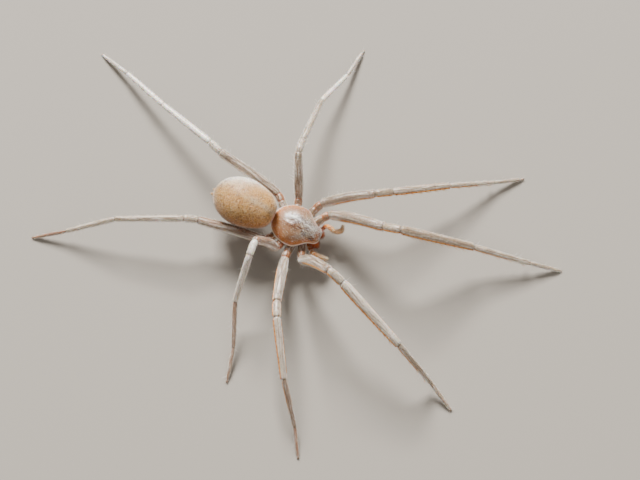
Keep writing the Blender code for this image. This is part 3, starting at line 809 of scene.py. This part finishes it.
def build_carapace(shell, hair, draw):
    grid, up, angle, top, furrow, reach, ripple = carapace_grid()
    # The white streak is a band of pale setae with a painted highlight over it
    streak = setae_and_highlight_streak(grid, top)
    tint = carapace_tint(grid, angle, top, furrow, reach, ripple, streak, draw)
    forward = grid[..., 0]
    grid = spider_axes(grid) + np.array([0, 0, RIM_HEIGHT])
    add_piece("carapace_shell", *part_of(grid, tint), shell, "carapace", ["carapace"])
    weight = step(up, 0.2, 0.5) * (0.10 + streak + 0.5 * step(forward, 0.2, 0.6))
    roots = scattered(grid, tint, "carapace", draw, weight)
    on_head = turned(roots.points, -PROSOMA_YAW)[:, 0] > 0.0
    dark = (draw.random(len(on_head)) < CARAPACE_DARK_HAIRS) * on_head
    add_coat("carapace_setae", roots, blend(WHITE, SETA_BROWN, 0.85 * dark), hair, "carapace", draw)
    weight = step(up, 0.30, 0.6) * step(forward, -0.24, 0.16)
    add_coat("head_bristles", scattered(grid, tint, "head", draw, weight), SETA_BROWN, hair, "carapace", draw)


def flecks(grid, draw):
    """Small dark flecks on the head, longer along it than across."""
    total = np.zeros(grid.shape[:2])
    for forward in draw.uniform(-0.25, 1.05, FLECKS):
        aside = draw.uniform(-0.34, 0.34)
        length, width = draw.uniform(0.028, 0.064), draw.uniform(0.016, 0.026)
        total += hill(grid[..., 0], forward, length) * hill(grid[..., 1], aside, width)
    return np.clip(total, 0.0, 1.0)


def spots(grid, draw):
    """Small brown spots scattered over the abdomen."""
    total = np.zeros(grid.shape[:2])
    middles = grid.reshape(-1, 3)[draw.choice(grid.shape[0] * grid.shape[1], SPOTS)]
    for middle in middles:
        total += hill(np.linalg.norm(grid - middle, axis=-1), 0.0, draw.uniform(0.022, 0.036))
    return np.clip(total, 0.0, 1.0)


def abdomen_axes(points):
    """Points in the abdomen's own axes, set in its place on the body."""
    return turned(turned(points, -ABDOMEN_PITCH, "y"), ABDOMEN_YAW) + np.array(ABDOMEN_CENTRE)


def build_abdomen(skin, hair, draw):
    grid, _, up = ball(abdomen_shape, *ABDOMEN_GRID)
    x = grid[..., 0] / ABDOMEN_LENGTH
    y = grid[..., 1] / ABDOMEN_WIDTH
    toward_light = PAINTED_LIGHT_SIDE[0] * x + PAINTED_LIGHT_SIDE[1] * y
    dimples = sum(hill(x, place, DIMPLE_WIDTH) for place in DIMPLE_PLACES)
    dimples = dimples * hill(np.abs(y), DIMPLE_ASIDE, DIMPLE_WIDTH) * (up > 0)
    below = step(-up, 0.3, 0.7)
    fold = hill(x, 0.16, 0.012) * below * hill(y, 0.0, 0.35)
    tint = painted(
        blend(ABDOMEN_SIDE, ABDOMEN_TOP, step(up, -0.40, 0.65)),
        # Painted light: painted sheen and highlight towards the key light, and painted shade on the side away
        # from it
        (SETA_PALE, 0.50 * step(toward_light, 0.20, 0.75)),
        (WHITE, 0.95 * step(toward_light, 0.46, 0.98)),
        (ABDOMEN_SIDE, 0.35 * step(-toward_light, 0.65, 0.95)),
        (SETA_BROWN, 0.65 * spots(grid, draw) * step(up, -0.2, 0.2)),
        (GREY_CREAM, 0.5 * hill(y, 0.0, 0.07) * step(x, -0.05, 0.2) * step(up, 0.3, 0.8)),
        (TAN, 0.7 * dimples),
        (ORANGE, 0.5 * fold),
        (WHITE, 0.6 * hill(x, 0.24, 0.06) * hill(np.abs(y), 0.22, 0.09) * below),
        (DEEP_ORANGE, 0.7 * hill(x, 0.20, 0.04) * hill(y, 0.0, 0.07) * below),
    )
    grid[..., 2] += FOLD_HEIGHT * fold - DIMPLE_DEPTH * dimples
    grid = abdomen_axes(grid)
    add_piece("abdomen_skin", *part_of(grid, tint), skin, "abdomen", ["abdomen"])
    roots = scattered(grid, tint, "abdomen", draw)
    shade = hair_colours(roots.colours, draw, 0.45, (0.0, 0.75))
    add_coat("abdomen_setae", roots, shade, hair, "abdomen", draw)


def corner(before, middle, after, shares):
    first, last = middle + before * CORNER_REACH, middle + after * CORNER_REACH
    shares = np.asarray(shares)[:, None]
    return first * (1 - shares) ** 2 + middle * 2 * shares * (1 - shares) + last * shares ** 2


def run_line(joints, index, bow, count):
    """One leg segment's middle line, from the middle of one rounded corner to the middle of the next."""
    start, end = joints[index], joints[index + 1]
    reach = np.linalg.norm(end - start)
    along = (end - start) / reach
    upward = unit(UP - along * along[2])
    half = np.linspace(0.5, 1.0, 8)
    head, tail = start[None], end[None]
    low, high = 0.0, 1.0
    if index > 0:
        head = corner(unit(joints[index - 1] - start), start, along, half)
        low = CORNER_REACH / reach
    if index + 2 < len(joints):
        tail = corner(unit(joints[index + 2] - end), end, -along, half)[::-1]
        high = 1.0 - CORNER_REACH / reach
    place = np.linspace(low, high, 40)[1:-1, None]
    hump = 4.0 * (place - low) * (high - place) / max(high - low, SHORTEST_RUN) ** 2
    middle = start + along * reach * place + upward * bow * reach * hump
    line = np.vstack([head, middle, tail])
    length = walked_along(line)[-1]
    even = np.linspace(0, 1, count)
    shares = 0.5 * (0.5 - 0.5 * np.cos(np.pi * even)) + 0.5 * even
    return points_at(line, shares * length), shares, length


def leg_joints(side, number):
    """The seven joint places of one leg, from the sternum to the tip of the tarsus."""
    base, headings, heights = LEG_POSES[side, number]
    forward, out = COXA_ROOTS[number]
    sign = 1.0 if side == "left" else -1.0
    root = spider_axes([0.5 * STERNUM_LENGTH * forward, sign * 0.5 * STERNUM_WIDTH * out, COXA_HEIGHT])
    place = np.array([*base, HIP_HEIGHT])
    joints = [root, place]
    heights = (*heights, 0.5 * TIP_WIDTH * (1.0 - FOOT_SINK))
    for length, heading, height in zip(SEGMENT_LENGTHS[number], headings, heights):
        rise = height - place[2]
        plan = math.sqrt(length ** 2 - rise ** 2)
        turn = math.radians(heading)
        place = place + np.array([plan * math.cos(turn), plan * math.sin(turn), rise])
        joints.append(place)
    return joints


def segment_radii(kind, widths, index, shares, length):
    """A segment's radius at each share of its length, with a short waist and a low lip at each joint."""
    full = 0.5 * widths[index]
    start = 0.5 * JOINT_WAIST * min(widths[index - 1:index + 1]) if index else COXA_ROOT_SHARE * full
    end = 0.5 * (JOINT_WAIST * min(widths[index:index + 2]) if index + 1 < len(widths) else TIP_WIDTH)
    profile = [(knot, share * full) for knot, share in SEGMENT_PROFILES[kind]]
    knots, values = [0.0], [start]
    if index:
        knots.append(COLLAR / length)
        values.append(0.5 * (start + profile[0][1]) + 0.15 * (profile[0][1] - start))
    knots += [knot for knot, value in profile if knot > COLLAR / length]
    values += [value for knot, value in profile if knot > COLLAR / length]
    if kind != "tarsus":
        knots.append(1.0 - COLLAR / length)
        values.append(0.98 * profile[-1][1])
    return smooth_curve(knots + [1.0], values + [end], shares)


def streak_pattern(shares, angle, draw, width=0.10):
    """Broken lines that run along a segment, as the muscles and tendons inside show through."""
    total = np.zeros(np.broadcast_shapes(shares.shape, angle.shape))
    for place in draw.uniform(-2.4, 2.4, STREAKS):
        drift = place + 0.22 * np.sin(2.0 * np.pi * (shares * draw.uniform(0.5, 1.5) + draw.random()))
        strength = 0.5 + 0.5 * np.sin(2.0 * np.pi * (shares * draw.uniform(1.0, 4.0) + draw.random()))
        total += strength * hill(angle, drift, width)
    return np.clip(total, 0.0, 1.0)


def leg_tint(tone, number, kind, shares, angle, length, draw):
    """A segment's colours: brown-grey on top, a painted white highlight along both flanks, golden or tan
    below, with streaks.
    """
    shares, angle = np.broadcast_arrays(shares[:, None], angle[None, :])
    up = np.cos(angle)
    top = {"coxa": HIP_TAN, "femur": BROWN_GREY}.get(kind, blend(BROWN_GREY, GREY_CREAM, 0.4))
    brown = {"coxa": HIP_BROWN, "femur": ROSE_TAN}.get(kind, PINK_BROWN)
    below = GOLD if number in FRONT_LEGS and kind in ("tibia", "metatarsus") else TAN
    pale, warm = (min(TONE_STRENGTH * max(value, 0.0), 0.97) for value in (tone, -tone))
    unevenness = 0.45 - 0.30 * pale ** 6
    wash = 1.0 - unevenness * (1.0 - streak_pattern(shares, angle, draw, 0.28))
    layers = [
        # White from the leg's tone; on the whitest legs this is partly painted highlight
        (HIP_GREY if kind == "coxa" else WHITE, pale * wash),
        (brown, warm),
        # Painted highlight: white along both flanks, standing in for rim light and sheen on the leg's edges
        (WHITE, (0.45 if kind == "coxa" else 1.0) * hill(up, 0.08, 0.42) * (1.0 - 0.4 * warm)),
        (below, 0.60 * step(-up, 0.15, 0.55)),
        (LINE_BROWN, (0.70 - 0.25 * pale - 0.20 * pale ** 6) * streak_pattern(shares, angle, draw)),
        (WHITE, (0.55 - 0.3 * warm) * streak_pattern(shares, angle, draw)),
    ]
    if number in FRONT_LEGS and kind in SEAM_SPANS:
        thickness, first, last = SEAM_SPANS[kind]
        line = hill(np.abs(angle + SEAM_ROLL), SEAM_ANGLE, SEAM_GLOW)
        line = line * step(shares, first - 0.1, first) * (1.0 - step(shares, last, last + 0.1))
        layers.append((blend(GOLD, ORANGE, 0.4), 0.95 * thickness * line))
    if kind == "coxa":
        wave = 0.5 + 0.5 * np.cos(3.0 * angle + number)
        layers.append((ORANGE, 0.35 * step(shares, 0.72, 0.76) * wave))
        layers.append((DEEP_ORANGE, 0.75 * hill(shares, 0.73, 0.018)))
    for way, orange in ((shares, kind == "femur"), (1.0 - shares, kind == "coxa")):
        layers.append((DEEP_ORANGE if orange else LINE_BROWN, 0.7 * hill(way * length, 0.0, JOINT_LINE)))
    return painted(top, *layers)


def leg_skin(side, number, joints, angle, draw):
    """One leg's skin: its grid, colours and middle line, and the number of each ring's segment."""
    widths = SEGMENT_WIDTHS[number]
    lines, radii, tints, kinds = [], [], [], []
    for index, kind in enumerate(SEGMENTS):
        bow = FEMUR_BOW[number] if kind == "femur" else 0.0
        points, shares, length = run_line(joints, index, bow, SEGMENT_RINGS[kind])
        keep = slice(1 if index else 0, None)
        lines.append(points[keep])
        radii.append(segment_radii(kind, widths, index, shares, length)[keep])
        tone = LEG_TONES[side, number][index]
        tints.append(leg_tint(tone, number, kind, shares, angle, length, draw)[keep])
        kinds += [index] * len(points[keep])
    line = np.vstack(lines)
    return swept(line, np.concatenate(radii), LEG_SIDES), np.vstack(tints), line, np.array(kinds)


def build_leg(side, number, skin, spine_finish, hair, draw):
    name = f"leg_{side}_{number}"
    joints = leg_joints(side, number)
    angle = 2.0 * np.pi * np.arange(LEG_SIDES) / LEG_SIDES
    angle = np.where(angle > np.pi, angle - 2.0 * np.pi, angle)
    grid, tint, line, kinds = leg_skin(side, number, joints, angle, draw)
    nodes = [f"{name}_{kind}" for kind in SEGMENTS]
    add_piece(f"{name}_skin", *part_of(grid, tint), skin, "leg_femur", nodes)
    weight = np.array(HAIR_DENSITIES)[kinds][:, None] + 0.0 * angle
    if number in FRONT_LEGS:
        above_tarsus = (kinds < SEGMENTS.index("tarsus"))[:, None]
        bare = hill(np.abs(angle + SEAM_ROLL), SEAM_ANGLE, SEAM_BARE) * above_tarsus
        weight = weight * (1.0 - 0.9 * bare)
    roots = scattered(grid, tint, "leg", draw, weight)
    shade = hair_colours(roots.colours, draw, 0.35, (0.1, 0.8))
    rare = draw.random(len(shade)) < RARE_HAIRS
    add_coat(f"{name}_setae", roots, shade, hair, "leg_tibia", draw, rare)
    build_claws(name, line, hair)
    if number in FRONT_LEGS:
        parts = leg_seams(grid, line, kinds) + leg_spines(number, joints)
        add_piece(f"{name}_spines", *joined(parts), spine_finish, "leg_tibia")


def leg_seams(grid, line, kinds):
    """A golden seam along each flank from femur to metatarsus, beaded with small orange sockets."""
    parts = []
    bead = ball(bead_shape, *BEAD_GRID)[0]
    for bearing in (SEAM_ANGLE - SEAM_ROLL, -SEAM_ANGLE - SEAM_ROLL):
        flank = grid[:, round(bearing / (2.0 * np.pi) * LEG_SIDES)]
        for kind, (thickness, first, last) in SEAM_SPANS.items():
            rows = np.flatnonzero(kinds == SEGMENTS.index(kind))[2:-2]
            rows = rows[round(first * len(rows)):round(last * len(rows))]
            path = flank[rows] * (1.0 - SEAM_INSET) + line[rows] * SEAM_INSET
            ends = np.sqrt(np.clip(1.0 - np.linspace(-1.0, 1.0, len(rows)) ** 8, 0.02, 1.0))
            parts.append(tube(path, SEAM_RADIUS * thickness * ends, 10, blend(GOLD, ORANGE, 0.20)))
            ways = np.arange(0.5 * BEAD_SPACING, walked_along(path)[-1], BEAD_SPACING)
            for middle in points_at(path, ways):
                parts.append(part_of(thickness * bead + middle, DEEP_ORANGE))
    return parts


def bead_shape(x, ring, across, up):
    return BEAD_RADIUS * x, BEAD_RADIUS * ring * across, BEAD_RADIUS * ring * up


def build_claws(name, line, finish):
    """The two small hooks at the tip of the tarsus."""
    tip = line[-1]
    along = unit(line[-1] - line[-4])
    side = unit(np.cross(along, UP))
    parts = []
    for sign in (-1.0, 1.0):
        share = np.linspace(0, 1, 9)[:, None]
        root = tip - along * 0.02 + side * 0.018 * sign + UP * 0.018
        points = root + along * CLAW_LENGTH * share - UP * 0.035 * share ** 2 + side * 0.012 * sign * share
        points[:, 2] = np.maximum(points[:, 2], 0.004)
        parts.append(tube(points, np.linspace(CLAW_RADIUS, 0.15 * CLAW_RADIUS, 9), 8, DEEP_ORANGE))
    add_piece(f"{name}_claws", *joined(parts), finish, "leg_tarsus")


def leg_spines(number, joints):
    """Two rows of long tapered spines under the tibia and metatarsus, each on a small orange socket."""
    parts = []
    for kind in ("tibia", "metatarsus"):
        pairs, length = SPINES[number, kind]
        index = SEGMENTS.index(kind)
        start, end = joints[index], joints[index + 1]
        along = unit(end - start)
        under = -unit(UP - along * along[2])
        aside = np.cross(along, under)
        lean = math.radians(SPINE_LEAN)
        reach = 0.45 * SEGMENT_WIDTHS[number][index] - SPINE_SINK
        for share in np.linspace(*SPINE_STRETCH, pairs):
            for sign in (-1.0, 1.0):
                splay = math.radians(SPINE_SPLAY) * sign
                outward = under * math.cos(splay) + aside * math.sin(splay)
                heading = outward * math.cos(lean) + along * math.sin(lean)
                root = start + (end - start) * share + outward * reach
                t = np.linspace(0, 1, 10)[:, None]
                points = root + heading * length * t - outward * SPINE_BEND * length * t ** 2
                radii = 0.5 * SPINE_WIDTH * (1.0 - 0.88 * t[:, 0] ** 1.3)
                parts.append(tube(points, radii, 8, blend(ORANGE, CREAM, 0.75)))
                socket = root + outward * SOCKET_HEIGHT * np.linspace(0, 1, 5)[:, None]
                parts.append(tube(socket, 0.5 * SPINE_WIDTH * np.array(SOCKET_BULGE), 10, DEEP_ORANGE))
    return parts


def rounded_route(knots, steps):
    """A smooth line through knots, with a number of steps between each two."""
    knots = np.asarray(knots, float)
    padded = np.vstack([2 * knots[0] - knots[1], knots, 2 * knots[-1] - knots[-2]])
    points = []
    for a, b, c, d in zip(padded, padded[1:], padded[2:], padded[3:]):
        for t in np.arange(steps) / steps:
            points.append(
                0.5 * (2 * b + (c - a) * t + (2 * a - 5 * b + 4 * c - d) * t ** 2
                       + (3 * b - a - 3 * c + d) * t ** 3)
            )
    return np.array(points + [knots[-1]])


def build_palp(side, skin, hair, draw):
    sign = 1.0 if side == "left" else -1.0
    knots = spider_axes([(forward, sign * out, up) for forward, out, up in PALP_ROUTES[side]])
    line = rounded_route(knots, PALP_STEPS)
    place = np.arange(len(line)) / PALP_STEPS
    radii = smooth_curve(np.arange(len(knots)), 0.5 * PALP_WIDTH * np.array(PALP_SHARES), place)
    waist = sum(hill(place, joint, 0.10) for joint in range(2, 7))
    grid = swept(line, radii * (1.0 - 0.14 * waist), PALP_SIDES)
    angle = 2.0 * np.pi * np.arange(PALP_SIDES) / PALP_SIDES
    along = place[:, None] + 0.0 * angle
    tint = painted(
        blend(DEEP_ORANGE, ORANGE, step(along, 0.5, 2.0)),
        (GOLD, step(along, 2.0, 4.0)),
        (CREAM, 0.5 * step(along, 3.5, 6.5) * (0.5 + 0.5 * np.cos(2.0 * angle))),
        (DEEP_ORANGE, 0.45 * waist[:, None]),
    )
    add_piece(f"palp_{side}_skin", *part_of(grid, tint), skin, "palp", [f"palp_{side}"])
    roots = scattered(grid, tint, "palp", draw, 0.2 + step(along, 1.5, 4.0))
    add_coat(f"palp_{side}_setae", roots, blend(roots.colours, SETA_PALE, 0.6), hair, "palp", draw)


def in_jaw_axes(points, sign):
    """Points along a chelicera, pitched down and toed in."""
    return turned(turned(points, CHELICERA_PITCH, "y"), CHELICERA_TOE_IN * sign)


def build_chelicera(side, shell, hair, draw):
    sign = 1.0 if side == "left" else -1.0
    grid, across, up = ball(chelicera_shape, *JAW_GRID)
    x = grid[..., 0] / CHELICERA_LENGTH
    tint = painted(
        JAW_BROWN,
        (ORANGE, 0.35 * step(x, 0.1, 0.6) + 0.30 * hill(across, 0.0, 0.35)),
        (FANG_BROWN, 0.35 * step(np.sin(19.0 * across + 23.0 * x), 0.3, 1.0)),
    )
    forward, out, height = CHELICERA_PLACE
    centre = np.array([forward, sign * out, height])
    grid = spider_axes(in_jaw_axes(grid, sign) + centre)
    tip = spider_axes(in_jaw_axes([FANG_START * CHELICERA_LENGTH, 0, 0], sign) + centre)
    back, inward, down = FANG_DIRECTION
    reach = unit(spider_axes([back, sign * inward, down])) * FANG_LENGTH
    t = np.linspace(0, 1, 16)[:, None]
    fang = swept(tip + reach * t + UP * 0.05 * t ** 2, FANG_RADIUS * (1.0 - 0.88 * t[:, 0] ** 1.2), 14)
    fang_tint = blend(ORANGE, FANG_BROWN, step(t + np.zeros((1, 14)), 0.0, 0.6))
    parts = [part_of(grid, tint), part_of(fang, fang_tint)]
    add_piece(f"chelicera_{side}_shell", *joined(parts), shell, "chelicera", [f"chelicera_{side}"])
    roots = scattered(grid, tint, "chelicera", draw, step(up, -0.2, 0.5))
    shade = blend(roots.colours, SETA_BROWN, 0.5)
    add_coat(f"chelicera_{side}_setae", roots, shade, hair, "chelicera", draw)


def plate(centre, size, tint, pitch=0.0, yaw=0.0, fullness=0.8):
    """A small rounded plate or lobe, in the spider's axes."""
    def shape(x, ring, across, up):
        full = ring ** fullness
        return 0.5 * size[0] * x, 0.5 * size[1] * full * across, 0.5 * size[2] * full * up
    grid = turned(turned(ball(shape, *PLATE_GRID)[0], pitch, "y"), yaw) + np.array(centre)
    return part_of(spider_axes(grid), tint)


def build_underside(shell, skin, hair, draw):
    """Sternum, lip and mouth plates, and the soft skin between them and the carapace."""
    grid, _, up = ball(sternum_shape, *STERNUM_GRID)
    tint = blend(TAN, ORANGE, 0.5 * (np.abs(up) < 0.35))
    grid = spider_axes(grid) + np.array([0, 0, 0.5 * (STERNUM_TOP + STERNUM_BOTTOM)])
    parts = [part_of(grid, tint), plate(*LIP, ORANGE, pitch=-8)]
    for sign in (-1.0, 1.0):
        (forward, out, height), size = MOUTH_PLATE
        parts.append(plate((forward, sign * out, height), size, GOLD, pitch=-6, yaw=-16 * sign))
    add_piece("sternum_shell", *joined(parts), shell, "sternum", ["sternum"])
    soft = plate(*SOFT_MIDDLE, blend(TAN, CREAM, 0.4), fullness=0.7)
    add_piece("pleura_skin", *soft, skin, "pedicel")
    roots = scattered(grid, tint, "sternum", draw, step(-up, 0.0, 0.4))
    add_coat("sternum_setae", roots, blend(roots.colours, SETA_PALE, 0.5), hair, "sternum", draw)


def build_pedicel(skin):
    """The stalk, with a few folds around it."""
    t = np.linspace(0, 1, 60)[:, None]
    start, end = spider_axes(PEDICEL_START), spider_axes(PEDICEL_END)
    start = start - (end - start) * 0.1
    end = end + (end - start) * 0.12
    folds = 1.0 + 0.06 * np.cos(2 * np.pi * PEDICEL_FOLDS * t[:, 0])
    stalk = tube(start + (end - start) * t, 0.5 * PEDICEL_WIDTH * folds, 32, TAN)
    add_piece("pedicel_skin", *stalk, skin, "pedicel", ["pedicel"])


def build_spinnerets(skin, hair, draw):
    """Six two-jointed spinnerets round the low cone behind them, with fine spigots at their tips."""
    size = np.array([ABDOMEN_LENGTH, ABDOMEN_WIDTH, ABDOMEN_HEIGHT])
    centre = abdomen_axes(np.array(SPINNERET_PLACE) * size)
    back = unit(spider_axes(SPINNERET_DIRECTION))
    across = spider_axes([0.0, 1.0, 0.0])
    down = np.cross(back, across)
    mound = centre + back * np.linspace(-0.10, 0.09, 24)[:, None]
    mound_radii = MOUND_RADIUS * np.sqrt(np.clip(1.0 - np.linspace(-0.2, 0.9, 24) ** 4, 0.05, 1.0))
    parts = [tube(mound, mound_radii, 32, TAN)]
    tips = []
    t = np.linspace(0, 1, 30)
    radii = SPINNERET_WIDTH * smooth_curve(*zip(*SPINNERET_PROFILE), t)
    for row in range(3):
        for sign in (-1.0, 1.0):
            start = centre + across * SPINNERET_ASIDE * sign + down * SPINNERET_ROW_STEP * (row - 1)
            length = SPINNERET_LENGTH - SPINNERET_ROW_SHORTER * row
            end = start + back * length + across * SPINNERET_FLARE * sign
            parts.append(tube(start + (end - start) * t[:, None], radii, 20, blend(CREAM, TAN, 0.7)))
            tips.append(end)
    cone = centre - down * MOUND_RADIUS + back * np.linspace(-0.04, 0.10, 12)[:, None]
    parts.append(tube(cone, np.linspace(0.09, 0.015, 12), 20, TAN))
    add_piece("spinnerets_skin", *joined(parts), skin, "spinnerets", ["spinnerets"])
    build_spigots(tips, back, hair, draw)


def build_spigots(tips, back, hair, draw):
    """Fine short hairs at the tips of the spinnerets."""
    coat = COATS["spigot"]
    count = coat.count * len(tips)
    points = np.repeat(tips, coat.count, axis=0) + draw.normal(0, 0.012, (count, 3)) - back * 0.012
    normals = unit(back + draw.normal(0, 0.3, (count, 3)))
    lies = unit(np.cross(normals, UP))
    places = np.stack([np.repeat(np.arange(len(tips)) / len(tips), coat.count), draw.random(count)], -1)
    roots = Roots(coat, points, normals, lies, places, None)
    add_coat("spinneret_spigots", roots, SETA_PALE, hair, "spinnerets", draw)


def plain_material(name, colour, roughness):
    material = bpy.data.materials.new(name)
    material.use_nodes = True
    shader = material.node_tree.nodes["Principled BSDF"]
    shader.inputs["Base Color"].default_value = (*colour, 1.0)
    shader.inputs["Roughness"].default_value = roughness
    return material


def build_stage():
    """The floor, the lights, the pale surroundings and the camera."""
    bpy.ops.mesh.primitive_plane_add(size=FLOOR_WIDTH)
    floor = bpy.context.object
    floor.name = "floor"
    floor.data.materials.append(plain_material("floor", FLOOR_GREY, 0.8))
    for light in LIGHTS:
        add_light(*light)
    world = bpy.data.worlds.new("studio")
    bpy.context.scene.world = world
    world.use_nodes = True
    world.node_tree.nodes["Background"].inputs["Color"].default_value = (1.0, 0.99, 0.97, 1.0)
    world.node_tree.nodes["Background"].inputs["Strength"].default_value = SKY_STRENGTH
    build_camera()


def add_light(name, place, size, power, colour):
    light = bpy.data.lights.new(name, "AREA")
    light.size = size
    light.energy = power
    light.color = colour
    item = new_object(name, light)
    item.location = place
    aim(item, np.zeros(3))


def aim(item, target):
    """Turns a light or camera towards a place in metres."""
    item.rotation_mode = "QUATERNION"
    item.rotation_quaternion = (Vector(target) - item.location).to_track_quat("-Z", "Y")


def build_camera():
    camera = bpy.data.cameras.new("camera")
    item = new_object("camera", camera)
    target = (np.array(CAMERA_TARGET) + SHIFT) * MM
    elevation = math.radians(CAMERA_ELEVATION)
    back = np.array([0.0, -math.cos(elevation), math.sin(elevation)])
    item.location = target + back * CAMERA_DISTANCE * MM
    camera.sensor_width = SENSOR
    camera.lens = SENSOR * CAMERA_DISTANCE / FRAME_WIDTH
    camera.clip_start = 0.01
    camera.clip_end = 10.0
    aim(item, target)
    bpy.context.scene.camera = item


def build_spider():
    draw = np.random.default_rng(7)
    shell = cuticle("carapace_cuticle", roughness=0.40, scatter=0.045, coat=0.20, sheen=0.4, mottle=0.5)
    skin = cuticle(
        "abdomen_skin", roughness=0.55, scatter=0.05, coat=0.05, sheen=0.9, mottle=0.5,
        dots=0.9, dot_scale=15.0,
    )
    jaw = cuticle(
        "jaw_cuticle", roughness=0.3, scatter=0.05, coat=0.15, sheen=0.0, mottle=0.25, inner=0.2, gloss=0.25,
    )
    leg = cuticle("leg_cuticle", roughness=0.40, scatter=0.05, coat=0.12, sheen=0.8, mottle=0.5, dots=0.5)
    spine_finish = cuticle("spine_cuticle", roughness=0.3, scatter=0.03, coat=0.3, sheen=0.1, mottle=0.1)
    hair = cuticle(
        "seta", roughness=0.45, scatter=0.01, coat=0.0, sheen=0.5, mottle=0.1, inner=0.2, gloss=0.3,
    )
    build_carapace(shell, hair, draw)
    build_abdomen(skin, hair, draw)
    build_underside(shell, skin, hair, draw)
    build_pedicel(skin)
    build_spinnerets(skin, hair, draw)
    for side in ("left", "right"):
        build_chelicera(side, jaw, hair, draw)
        build_palp(side, shell, hair, draw)
        for number in (1, 2, 3, 4):
            build_leg(side, number, leg, spine_finish, hair, draw)


low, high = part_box("carapace")
SOLID_PLACE = 0.5 * (np.array(low) + np.array(high))[:2] / MM
SHIFT = np.array([*(SOLID_PLACE - solid_middle()), 0.0])
build_spider()
build_stage()
